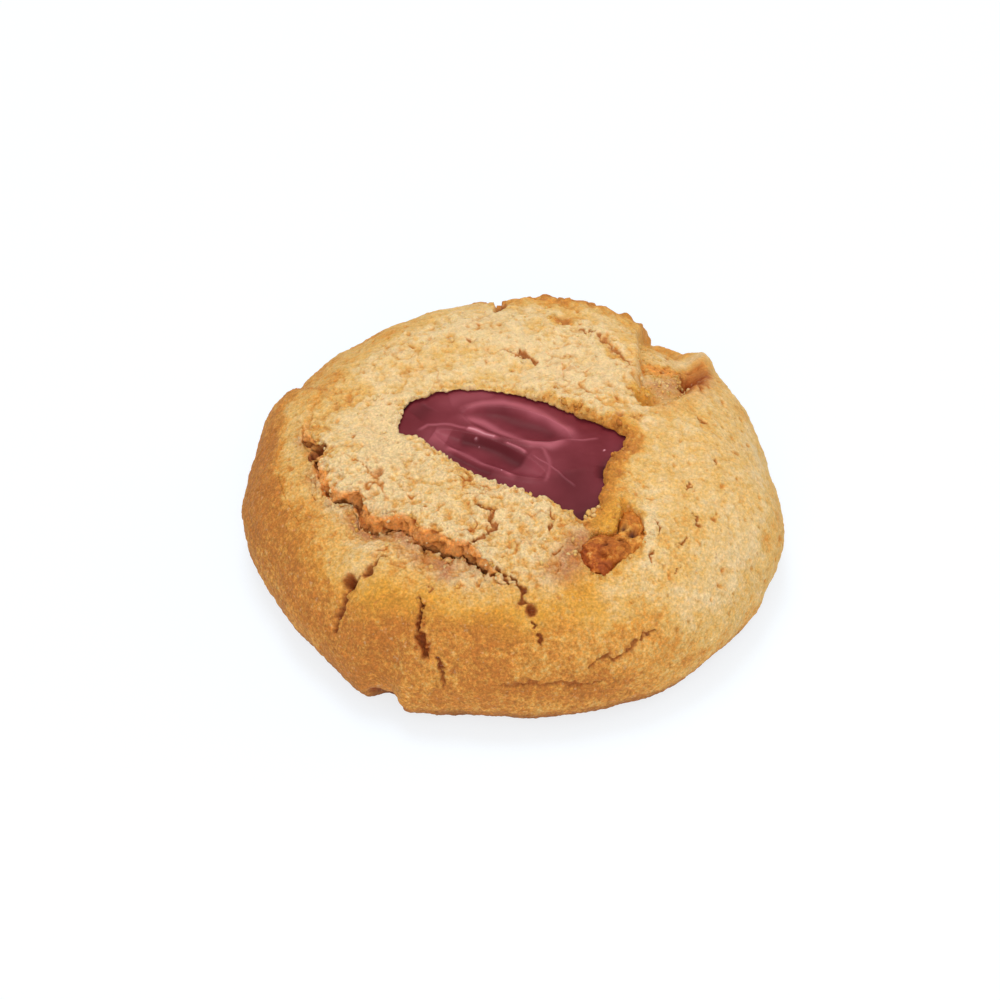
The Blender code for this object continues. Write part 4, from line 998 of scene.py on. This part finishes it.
def bump_at(places, x, y, half_length, half_width, bearing):
    """1 at the middle of a soft ellipse on the map, falling to 0 round it."""
    u, w = turned(places[..., 0] - x, places[..., 1] - y, bearing)
    return np.exp(-((u / half_length) ** 2) - (w / half_width) ** 2)


def bell(value, middle, half_width):
    """1 where the value is the middle one, falling to 0 on both sides."""
    return np.exp(-(((value - middle) / half_width) ** 2))


def rising(least, share):
    """A factor that rises with the share from the least to 1."""
    return least + (1.0 - least) * share


def bent(places, points, distance, size, seeds):
    """Places on the map, moved by noise with lumps about size across."""
    return places + distance * np.stack([noise(points, size, seed) for seed in seeds], axis=-1)


def cream_share(points, plan, bearings):
    """1 on the cream top and 0 on the golden ring."""
    edge = around(CREAM_EDGE, bearings)
    return 1.0 - ramp(summed_noise(points, CREAM_FRAY, (plan - edge) / CREAM_BLUR + 0.5))


def crumble(points, rough, cream, near_break, bearings):
    """Fine relief: crumbs on the cream top and near the breaks, grain and pores on the golden ring."""
    veins = np.clip(1.0 - np.abs(summed_noise(points, VEINS)) * VEIN_NARROWNESS, 0.0, 1.0)
    veins = veins * np.clip(summed_noise(points, VEIN_AREAS, VEIN_AREAS_BASE), 0.0, 1.0)
    veins = veins * rising(VEINS_LEAST, around(CRUMBLE, bearings))
    pores = np.clip(noise(points, *PORE_NOISE) - PORE_FROM, 0.0, PORE_LIMIT)
    crumbly = np.maximum(cream * around(CRUMBLE, bearings), near_break)
    crumbs = summed_noise(points, CRUMBS_RELIEF) * rising(CRUMBS_LEAST, crumbly)
    height = summed_noise(points, GRAIN) + crumbs * (1.0 + near_break)
    height = (height - VEIN_DEPTH * veins * rising(VEINS_LEAST, cream) - PORE_DEPTH * pores) * rough
    # Painted shade, darker where the fine relief is low.
    steepness, level, lowest, highest = SHADE_BY_HEIGHT
    return height, veins, pores, np.clip(-steepness * height - level, lowest, highest)


def chunk_frame(places):
    """Places along and across the browned chunk, and its middle and half width there."""
    u, w = turned(places[..., 0] - CHUNK_CENTRE[0], places[..., 1] - CHUNK_CENTRE[1], CHUNK_BEARING)
    return (u, w, *chunk_section(u))


def chunk_dip(places):
    """1 inside the plan of the browned chunk and 0 outside it."""
    u, w, middle, half_width = chunk_frame(places)
    reach = (u - (CHUNK_ENDS[0] + CHUNK_ENDS[1]) / 2.0) / ((CHUNK_ENDS[1] - CHUNK_ENDS[0]) / 2.0)
    share = np.abs(reach) ** CHUNK_FULLNESS + np.abs((w - middle) / half_width) ** CHUNK_FULLNESS
    return ramp((1.0 - share ** (1.0 / CHUNK_FULLNESS)) / CHUNK_DIP_EDGE)


def near_chunk(places, reach):
    """1 at the browned chunk, falling to 0 this far outside it."""
    u, w, middle, half_width = chunk_frame(places)
    end_inset, side_share = CHUNK_CORE
    beyond = np.maximum(np.maximum(CHUNK_ENDS[0] + end_inset - u, u - CHUNK_ENDS[1] + end_inset), 0.0)
    gap = np.hypot(beyond, np.maximum(np.abs(w - middle) - side_share * half_width, 0.0))
    return ramp(1.0 - gap / reach)


def cracked(points, places, path):
    """The share of a crack at each point, worked out near the crack only."""
    line = np.array([place[:2] for place in path])
    margin = CRACK_MARGIN[0] * max(place[2] for place in path) + CRACK_MARGIN[1]
    near = ((places > line.min(axis=0) - margin) & (places < line.max(axis=0) + margin)).all(axis=-1)
    share = np.zeros(places.shape[:-1])
    share[near] = crack_share(points[near], places[near], path)
    return share


def skin_values(points, places, plan, bearings, cream, veins, pores, sunk_shade):
    """How toasted, creamy, glowing and rosy each point of the skin is, and its painted shade."""
    start = around(TOAST_START, bearings)
    along_skin = summed_noise(points, TOAST_FRAY, plan - start)
    toast = summed_noise(points, TOAST_CLOUDS, TOAST_BASE) - CREAM_PALER * cream
    toast = toast + around(TOAST, bearings) * TOAST_STRENGTH * ramp(along_skin / TOAST_RISE)
    beyond = summed_noise(points, LIP_TOAST_FRAY, plan - around(OPENING, bearings) - LIP_TOAST_START)
    lip = 1.0 - ramp(beyond / around(LIP_TOAST_REACH, bearings))
    toast = toast + LIP_TOAST_STRENGTH * lip * around(LIP_TOAST, bearings)
    glow = around(SHOULDER_GLOW, bearings) * bell(along_skin, *SHOULDER_GLOW_LINE)
    # Painted shade in the veins and the sunk grain.
    hollow_shade = VEIN_SHADE * veins * rising(VEINS_LEAST, cream)
    crumbly = cream * around(CRUMBLE, bearings)
    hollow_shade = hollow_shade + SUNK_GRAIN_SHADE * np.maximum(sunk_shade, 0.0) * rising(CRUMBS_LEAST, crumbly)
    shade_and_dark_foot = np.zeros_like(plan)

    # Painted shade in the cracks and the fine marks, darkest in their cores.
    for depth, path in (*CRACKS, *MARKS):
        share = cracked(points, places, path)
        hollow_shade = np.maximum(hollow_shade, share * min(1.0, rising(CRACK_SHADE_LEAST, depth)))
        core, darkest, by_depth = CRACK_SHADE_DARKNESS
        shade_and_dark_foot = np.maximum(shade_and_dark_foot, np.clip(share - core, 0.0, 1.0) * min(darkest, depth * by_depth))
    gap = plan - ledge_radius(bearings)
    broken = ramp(around(STEP_DOWN, bearings) / WHOLLY_BROKEN)
    (face_start, face_rise), (face_end, face_fall) = FACE_EDGES
    face = broken * ramp((gap - face_start) / face_rise) * (1.0 - ramp((gap - face_end) / face_fall))
    amount, *line = BREAK_ROSY
    rosy = amount * broken * bell(gap, *line) * summed_noise(points, *BREAK_ROSY_CLOUDS)
    # Painted shade on the face of the break, more of it in the sunk places.
    hollow_shade = np.maximum(hollow_shade, face * (summed_noise(points, *FACE_SHADE_CLOUDS) + FACE_SUNK_SHADE * sunk_shade))
    # Painted shadow along the gap under the overhanging edge.
    shade_and_dark_foot = np.maximum(shade_and_dark_foot, broken * around(GAPING, bearings) * bell(gap, *GAPING_SHADOW_LINE))
    # Painted highlight along the brink, and sunk grain made browner as painted shade.
    amount, *line = BRINK_HIGHLIGHT
    toast = toast - amount * broken * bell(gap, *line) + SUNK_SHADE_TOAST * sunk_shade
    # Painted shade in the crease along the flap.
    crease, reached = near_path(places, FLAPS[0][2])
    amount, half_width, taper = FLAP_CREASE_SHADE
    hollow_shade = np.maximum(hollow_shade, amount * bell(crease, 0.0, half_width) * ramp(reached * taper))

    highest, brown, darkness = FOOT_TOAST
    foot = ramp(1.0 - points[..., 2] / highest) * (plan > start)
    toast = toast + brown * foot
    shade_and_dark_foot = np.maximum(shade_and_dark_foot, darkness * foot)

    face = FACE_TINT * face
    values = {"toast": toast, "glow": glow, "rosy": rosy, "face": face, "hollow_shade": hollow_shade, "shade_and_dark_foot": shade_and_dark_foot}
    frayed = bent(places, points, *PATCH_FRAY)
    for kind, patches in PATCHES.items():
        for amount, *patch in patches:
            values[kind] = values[kind] + amount * bump_at(frayed, *patch)
    for kind, amount, reach in CHUNK_SURROUNDINGS:
        values[kind] = values[kind] + amount * near_chunk(frayed, reach)
    # Painted shade in the pores.
    values["hollow_shade"] = values["hollow_shade"] + PORE_SHADE * pores
    # Painted shade in the deeper pits.
    sharpness, full_depth, darkness = PIT_SHADE
    nearly = (places + frayed) / 2.0
    for place, radius, depth in PITS:
        if depth > 0.0:
            share = np.exp(-((np.linalg.norm(nearly - np.array(place), axis=-1) / radius) ** sharpness))
            share = share * min(1.0, depth / full_depth) ** 2
            values["hollow_shade"] = np.maximum(values["hollow_shade"], share)
            values["shade_and_dark_foot"] = np.maximum(values["shade_and_dark_foot"], darkness * share * share)
    values["cream"] = cream
    values["quiet"] = around(QUIET, bearings)
    return values


def cookie_mesh():
    """The skin of the cookie as rings by columns, with its values."""
    bearings = np.arange(COLUMNS) * 360.0 / COLUMNS
    radius, height, plan, rough = section(bearings, FINENESS)
    turn = np.radians(bearings)
    points = np.stack((radius * np.cos(turn), radius * np.sin(turn), height), axis=-1)
    places = np.stack((plan * np.cos(turn), plan * np.sin(turn)), axis=-1)
    onward = np.gradient(points, axis=0)
    sideways = np.roll(points, -1, axis=1) - np.roll(points, 1, axis=1)
    outward = np.cross(sideways, -onward)
    outward /= np.maximum(np.linalg.norm(outward, axis=-1, keepdims=True), 1e-9)
    bearings = np.broadcast_to(bearings, plan.shape)

    cream = cream_share(points, plan, bearings)
    near_break = ramp(around(STEP_DOWN, bearings)) * bell(plan - ledge_radius(bearings), 0.0, NEAR_BREAK)
    near_break = np.maximum(near_break, bell(plan - around(OPENING, bearings), 0.0, NEAR_OPENING))
    near_break = np.maximum(near_break, NEAR_CHUNK[0] * near_chunk(places, NEAR_CHUNK[1]))
    fine, veins, pores, sunk_shade = crumble(points, rough, cream, near_break, bearings)
    for depth, path in MARKS:
        fine = fine - depth * cracked(points, places, path) * rough
    made = points + outward * (relief(points, places, rough) + fine)[..., None]
    on_top = (rough > 0.5) & (plan < TOP_RADIUS)
    made[..., 2] -= CHUNK_DIP * np.where(on_top, chunk_dip(places), 0.0)
    values = skin_values(points, places, plan, bearings, cream, veins, pores, sunk_shade)
    values["on_top"] = np.where(on_top, 1.0, 0.0)
    return made, values, places


def mesh_piece(name, node, points, faces, material):
    """A smooth mesh piece from points in millimetres, riding on the cookie in place of a node."""
    mesh = bpy.data.meshes.new(name)
    mesh.vertices.add(len(points))
    mesh.vertices.foreach_set("co", (np.asarray(points) * MM).astype(np.float32).ravel())
    sizes = np.array([len(face) for face in faces])
    mesh.loops.add(int(sizes.sum()))
    corners = [corner for face in faces for corner in face]
    mesh.loops.foreach_set("vertex_index", np.array(corners, np.int32))
    mesh.polygons.add(len(faces))
    mesh.polygons.foreach_set("loop_start", np.concatenate(([0], np.cumsum(sizes)[:-1])).astype(np.int32))
    mesh.polygons.foreach_set("loop_total", sizes.astype(np.int32))
    mesh.update(calc_edges=True)
    mesh.validate()
    mesh.materials.append(material)
    mesh.shade_smooth()
    obj = bpy.data.objects.new(name, mesh)
    bpy.context.scene.collection.objects.link(obj)
    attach(obj, "root")
    if node:
        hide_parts(node)
    return obj


def face_outward(mesh):
    """Turns all faces outwards."""
    builder = bmesh.new()
    builder.from_mesh(mesh)
    bmesh.ops.recalc_face_normals(builder, faces=builder.faces)
    builder.to_mesh(mesh)
    builder.free()


def store(obj, values):
    """Stores the values of the points, from 0 to 1, where the material reads them."""
    for kind, value in values.items():
        attribute = obj.data.attributes.new(kind, "FLOAT", "POINT")
        attribute.data.foreach_set("value", np.clip(value, 0.0, 1.0).astype(np.float32))


def thin_out(obj, triangles):
    """Collapses the mesh to about this many triangles, most of them left where it bends."""
    obj.data.calc_loop_triangles()
    collapse = obj.modifiers.new("fewer triangles", "DECIMATE")
    collapse.ratio = triangles / len(obj.data.loop_triangles)
    collapse.use_collapse_triangulate = True
    graph = bpy.context.evaluated_depsgraph_get()
    made = bpy.data.meshes.new_from_object(obj.evaluated_get(graph))
    obj.modifiers.clear()
    obj.data = made
    made.shade_smooth()


class Nodes:
    """Short calls that add and join shader nodes of one material."""

    def __init__(self, name):
        self.material = bpy.data.materials.new(name)
        self.material.use_nodes = True
        self.tree = self.material.node_tree
        self.surface = self.tree.nodes["Principled BSDF"]

    def add(self, kind, inputs=None, **settings):
        node = self.tree.nodes.new(kind)
        for key, value in settings.items():
            setattr(node, key, value)
        self.put(node, inputs or {})
        return node

    def put(self, node, inputs):
        """Sets inputs of a node to values, or joins them to the outputs of other nodes."""
        for key, value in inputs.items():
            if isinstance(value, bpy.types.NodeSocket):
                self.tree.links.new(value, node.inputs[key])
            else:
                node.inputs[key].default_value = value

    def finish(self, inputs):
        """Sets the inputs of the surface and gives back the finished material."""
        self.put(self.surface, inputs)
        return self.material

    def attribute(self, name):
        return self.add("ShaderNodeAttribute", attribute_name=name).outputs["Fac"]

    def noise(self, size, detail, roughness):
        """Noise whose lumps are about size across, in millimetres."""
        place = self.add("ShaderNodeTexCoord").outputs["Object"]
        inputs = {"Vector": place, "Scale": 1.0 / (size * MM), "Detail": detail, "Roughness": roughness}
        return self.add("ShaderNodeTexNoise", inputs).outputs["Fac"]

    def math(self, operation, a, b, clamp=False):
        node = self.add("ShaderNodeMath", {0: a, 1: b}, operation=operation, use_clamp=clamp)
        return node.outputs["Value"]

    def spread(self, value, low, high, out_low, out_high):
        """A range of the value, spread over another range."""
        inputs = {"Value": value, "From Min": low, "From Max": high, "To Min": out_low, "To Max": out_high}
        return self.add("ShaderNodeMapRange", inputs).outputs["Result"]

    def cloud(self, size, detail, roughness, low, high, out_low, out_high):
        """Noise, spread over another range."""
        return self.spread(self.noise(size, detail, roughness), low, high, out_low, out_high)

    def mix(self, share, a, b, blend="MIX"):
        node = self.add("ShaderNodeMix", data_type="RGBA", blend_type=blend)
        a, b = ((*value, 1.0) if isinstance(value, tuple) else value for value in (a, b))
        self.put(node, {0: share, 6: a, 7: b})
        return node.outputs[2]

    def ramp(self, value, stops):
        """Colours by value, from stops given as (value, colour)."""
        node = self.add("ShaderNodeValToRGB", {"Fac": value})
        elements = node.color_ramp.elements
        while len(elements) < len(stops):
            elements.new(0.5)
        for element, (place, colour) in zip(elements, stops):
            element.position = place
            element.color = (*colour, 1.0)
        return node.outputs["Color"]

    def dimmed(self, colour, amount):
        """The colour multiplied by a number."""
        grey = self.add("ShaderNodeCombineColor", {0: amount, 1: amount, 2: amount}).outputs[0]
        return self.mix(1.0, colour, grey, "MULTIPLY")

    def bump(self, height, distance, strength, normal=None):
        inputs = {"Height": height, "Distance": distance * MM, "Strength": strength}
        if normal:
            inputs["Normal"] = normal
        return self.add("ShaderNodeBump", inputs).outputs["Normal"]


def dough_material(name):
    make = Nodes(name)
    value = {kind: make.attribute(kind) for kind in SKIN_VALUES}
    blotch, speckle, mottle = (make.cloud(*DOUGH_CLOUDS[kind]) for kind in ("blotch", "speckle", "mottle"))
    calm = make.spread(value["quiet"], *CALM)
    uneven = make.math("MULTIPLY", make.spread(value["toast"], *UNEVEN), calm)
    grainy = make.math("MULTIPLY", make.math("ADD", speckle, mottle), uneven)
    level = make.math("ADD", make.math("ADD", value["toast"], blotch), grainy, clamp=True)
    colour = make.ramp(level, BAKED)
    shares = {}
    for kind in ("glow", "rosy", "face", "hollow_shade"):
        shares[kind] = make.math("MULTIPLY", value[kind], make.cloud(*DOUGH_CLOUDS[kind]), clamp=True)
    for kind, tint in (("glow", GLOW), ("rosy", ROSY), ("face", FACE)):
        colour = make.mix(shares[kind], colour, tint)
    # Painted shade in hollows, cracks, pores and sunk grain, then deep painted shade and the dark of the
    # foot.
    for tint_range, tint in HOLLOW_SHADE_TINTS:
        colour = make.mix(make.spread(shares["hollow_shade"], *tint_range), colour, tint)
    colour = make.mix(make.math("MULTIPLY", value["shade_and_dark_foot"], DARK_SHARE, clamp=True), colour, DEEP_SHADE_AND_FOOT)
    dimmer = make.dimmed(colour, make.cloud(*DOUGH_CLOUDS["fine shade"]))
    colour = make.mix(calm, colour, dimmer)
    shaded = make.dimmed(colour, make.cloud(*DOUGH_CLOUDS["toast shade"]))
    colour = make.mix(make.spread(value["toast"], *SHADED), colour, shaded)
    colour = make.dimmed(colour, make.cloud(*DOUGH_CLOUDS["coarse shade"]))
    # Random dark and pale flecks.
    colour = make.mix(make.cloud(*DOUGH_CLOUDS["dark fleck"]), colour, HOLLOW_SHADE_AND_FLECK)
    colour = make.mix(make.cloud(*DOUGH_CLOUDS["pale fleck"]), colour, FLECK)
    normal = None
    for grain, distance in DOUGH_BUMPS:
        normal = make.bump(make.noise(*grain), distance, calm, normal)
    return make.finish({"Base Color": colour, "Normal": normal, **DOUGH_SURFACE})


def chocolate_material():
    make = Nodes("raspberry_chocolate")
    colour = make.mix(make.cloud(*CHOCOLATE_CLOUDS["shade"]), *CHOCOLATE)
    colour = make.mix(make.cloud(*CHOCOLATE_CLOUDS["bloom"]), colour, CHOCOLATE_BLOOM)
    # Painted highlights, glints and shade laid over the chocolate's own colour.
    for kind, tint in CHOCOLATE_PAINTED_LIGHT.items():
        colour = make.mix(make.attribute(kind), colour, tint)
    roughness = make.cloud(*CHOCOLATE_CLOUDS["roughness"])
    grain, distance, strength = CHOCOLATE_BUMP
    normal = make.bump(make.noise(*grain), distance, strength)
    shine = {"Roughness": roughness, "Specular IOR Level": CHOCOLATE_SHINE}
    return make.finish({"Base Color": colour, "Normal": normal, **shine})


def chunk_material():
    make = Nodes("browned_chunk")
    mottle = make.cloud(*CHUNK_CLOUDS["mottle"])
    lower, upper = (make.ramp(mottle, stops) for stops in CHUNK_BROWNS)
    colour = make.mix(make.attribute("upper"), lower, upper)
    # Painted shade in the pits.
    colour = make.mix(make.attribute("shaded_pit"), colour, CHUNK_PIT_SHADE)
    colour = make.dimmed(colour, make.cloud(*CHUNK_CLOUDS["shade"]))
    grain, distance, strength = CHUNK_BUMP
    normal = make.bump(make.noise(*grain), distance, strength)
    return make.finish({"Base Color": colour, "Normal": normal, **CHUNK_SURFACE})


def in_order(rings):
    """The values of rings by columns in the order of closed_points."""
    return np.concatenate((rings[0][:1], rings[1:-1].ravel(), rings[-1][:1]))


def build_crumbs(rows, values, places, material):
    """Loose crumbs along the broken edge, at its foot, round the opening and in the crater."""
    random = np.random.default_rng(CRUMB_SEED)
    plan = np.linalg.norm(places, axis=-1)
    bearings = np.broadcast_to(np.arange(COLUMNS) * 360.0 / COLUMNS, plan.shape)
    gap = plan - ledge_radius(bearings)
    share = sum(amount * bell(gap, *line) for amount, *line in BREAK_CRUMBS)
    share = ramp(around(STEP_DOWN, bearings)) * share
    browned_stretch = bell(bearings, *BROWNED_STRETCH)
    least, more, *line = LIP_CRUMBS
    lip = bell(plan - around(OPENING, bearings), *line)
    share = np.maximum(share, (least + more * browned_stretch) * lip)
    share = np.maximum(share, CRATER_CRUMBS[0] * (within(places, CRATER) > CRATER_CRUMBS[1]))
    by_chunk = CHUNK_CRUMBS[0] * near_chunk(places, CHUNK_CRUMBS[1]) * (1.0 - chunk_dip(places))
    share = np.maximum(share, by_chunk)
    share = np.maximum(share, CREAM_CRUMBS * values["cream"])
    share = share * (values["on_top"] > 0.5)
    rings, columns = np.nonzero(share > LEAST_SHARE)
    weight = share[rings, columns] * plan[rings, columns]
    picked = random.choice(len(rings), CRUMBS, p=weight / weight.sum())

    spots = []
    smallest, largest = CRUMB_SIZES
    for spot in picked:
        here = rings[spot], columns[spot]
        size = smallest + (largest - smallest) * random.random() ** CRUMB_SIZE_POWER
        brown = BROWNED_STRETCH_TOAST * browned_stretch[here] * lip[here]
        spots.append((rows[here], size, values["toast"][here] + brown, 0.0, values["quiet"][here]))
    for place, size in TIP_CRUMBS:
        spots.append((np.array((*place, SLAB_TOP + TIP_LIFT)), size, *TIP_COLOUR))

    ball, ball_faces = ball_mesh(2)
    points, faces = [], []
    tints = {"toast": [], "glow": [], "quiet": []}
    for number, (centre, size, browned, glowing, quiet) in enumerate(spots):
        stretch = size * random.uniform(*CRUMB_STRETCH, 3)
        lumpy = ball * summed_noise(ball + CRUMB_SPACING * number, CRUMB_LUMPS, 1.0)[:, None]
        points.append(centre + lumpy * stretch + (0.0, 0.0, CRUMB_LIFT * size))
        faces.append(np.array(ball_faces) + number * len(ball))
        browned = browned + random.uniform(*CRUMB_TINT)
        for kind, value in zip(tints, (browned, glowing, quiet)):
            tints[kind].append(np.full(len(ball), value))
    points, faces = np.concatenate(points), np.concatenate(faces).tolist()
    crumbs = mesh_piece("loose_crumbs", None, points, faces, material)
    store(crumbs, {kind: np.concatenate(parts) for kind, parts in tints.items()})


def build_cookie():
    rows, values, places = cookie_mesh()
    faces = ring_faces(len(rows), COLUMNS)
    material = dough_material("baked_dough")
    cookie = mesh_piece("cookie_skin", "cookie", closed_points(rows), faces, material)
    face_outward(cookie.data)
    store(cookie, {kind: in_order(values[kind]) for kind in SKIN_VALUES})
    thin_out(cookie, COOKIE_TRIANGLES)
    build_crumbs(rows, values, places, material)


def build_chocolate():
    rows = slab_rows(SLAB_COLUMNS, SLAB_RINGS)
    places = bent(rows[..., :2], rows, *STREAK_BEND)
    # Painted highlights, glints and shade on the chocolate's top, along the streaks and specks.
    painted_highlight = np.zeros(rows.shape[:2])
    painted_shade = np.zeros(rows.shape[:2])
    for amount, half_width, line in STREAKS_AND_PAINTED_LIGHT:
        gap, share = near_path(places, line)
        stroke = bell(gap, 0.0, half_width)
        for from_end in (share, 1.0 - share):
            stroke = stroke * ramp(STREAK_ENDS[0] * from_end + STREAK_ENDS[1])
        if amount > 0.0:
            painted_highlight = np.maximum(painted_highlight, STREAK_HIGHLIGHT * amount * stroke)
        else:
            painted_shade = np.maximum(painted_shade, -STREAK_SHADE * amount * stroke)
    for place, radius in GLINT_SPECKS:
        gap = np.linalg.norm(rows[..., :2] - np.array(place), axis=-1)
        painted_highlight = np.maximum(painted_highlight, GLINT_SPECK_STRENGTH * bell(gap, 0.0, radius))
    painted_glint = (painted_highlight - PAINTED_GLINT_FROM[0]) / PAINTED_GLINT_FROM[1]
    painted_highlight = np.clip(painted_highlight, 0.0, 1.0)
    on_top = np.arange(len(rows))[:, None] < SLAB_RINGS
    # The same masks raise the highlighted streaks and sink the shaded ones.
    rows[..., 2] += np.where(on_top, STREAK_HEIGHT * (STREAK_RISE * painted_highlight - STREAK_SINK * painted_shade), 0.0)
    faces = ring_faces(len(rows), SLAB_COLUMNS)
    material = chocolate_material()
    slab = mesh_piece(
        "chocolate_slab", "raspberry_chocolate", closed_points(rows), faces, material
    )
    face_outward(slab.data)
    store(slab, {"painted_highlight": in_order(painted_highlight), "painted_shade": in_order(painted_shade), "painted_glint": in_order(painted_glint)})


def build_chunk():
    points, faces = chunk_form(CHUNK_SUBDIVISIONS)
    middle = np.array(CHUNK_CENTRE)
    way = points - middle
    way /= np.linalg.norm(way, axis=1)[:, None]
    points = points + way * summed_noise(points, CHUNK_ROUGH)[:, None]
    # Pits, sunk into the chunk and darkened with painted shade.
    shaded_pit = np.zeros(len(points))
    for place, radius in CHUNK_PITS:
        shaded_pit = np.maximum(shaded_pit, bell(np.linalg.norm(points[:, :2] - place, axis=1), 0.0, radius))
    shaded_pit = np.where(points[:, 2] > middle[2], shaded_pit, 0.0)
    points[:, 2] -= CHUNK_PIT_DEPTH * shaded_pit
    along_axis, _ = turned(points[:, 0] - middle[0], points[:, 1] - middle[1], CHUNK_BEARING)
    start, length = CHUNK_UPPER
    upper = ramp(summed_noise(points, CHUNK_UPPER_FRAY, along_axis - start) / length)
    chunk = mesh_piece("browned_lump", "browned_chunk", points, faces, chunk_material())
    face_outward(chunk.data)
    store(chunk, {"upper": upper, "shaded_pit": shaded_pit})


def build_stage():
    scene = bpy.context.scene
    floor_mesh = bpy.data.meshes.new("floor")
    corners = [(x * FLOOR_HALF, y * FLOOR_HALF, 0.0) for x, y in ((-1, -1), (1, -1), (1, 1), (-1, 1))]
    floor_mesh.from_pydata(corners, [], [(0, 1, 2, 3)])
    floor = bpy.data.objects.new("floor", floor_mesh)
    scene.collection.objects.link(floor)
    make = Nodes("floor")
    floor_mesh.materials.append(make.finish(FLOOR_SURFACE))

    world = bpy.data.worlds.new("studio")
    scene.world = world
    world.use_nodes = True
    tree = world.node_tree
    background = tree.nodes["Background"]
    sky = tree.nodes.new("ShaderNodeTexCoord")
    height = tree.nodes.new("ShaderNodeSeparateXYZ")
    shade = tree.nodes.new("ShaderNodeValToRGB")
    tree.links.new(sky.outputs["Generated"], height.inputs["Vector"])
    tree.links.new(height.outputs["Z"], shade.inputs["Fac"])
    tree.links.new(shade.outputs["Color"], background.inputs["Color"])
    for element, (place, grey) in zip(shade.color_ramp.elements, STUDIO_GREYS):
        element.position = place
        element.color = (grey, grey, grey, 1.0)
    background.inputs["Strength"].default_value = STUDIO_STRENGTH

    for name, place, size, power, colour in LAMPS:
        data = bpy.data.lights.new(name, "AREA")
        data.shape = "DISK"
        data.size = size
        data.energy = power
        data.color = colour
        lamp = bpy.data.objects.new(name, data)
        lamp.location = place
        lamp.rotation_euler = (Vector(LAMP_AIM) - Vector(place)).to_track_quat("-Z", "Y").to_euler()
        scene.collection.objects.link(lamp)

    scene.view_settings.view_transform = "Standard"
    scene.view_settings.look = "None"


def build_camera():
    data = bpy.data.cameras.new("camera")
    data.lens = CAMERA_LENS
    data.sensor_width = 36.0
    data.clip_start = 0.01
    camera = bpy.data.objects.new("camera", data)
    tilt = np.radians(CAMERA_TILT)
    back = np.array((0.0, -np.cos(tilt), np.sin(tilt)))
    camera.location = (np.array(CAMERA_AIM) + back * CAMERA_DISTANCE) * MM
    camera.rotation_euler = (np.radians(90.0 - CAMERA_TILT), 0.0, 0.0)
    bpy.context.scene.collection.objects.link(camera)
    bpy.context.scene.camera = camera


build_camera()
build_stage()
build_cookie()
build_chocolate()
build_chunk()
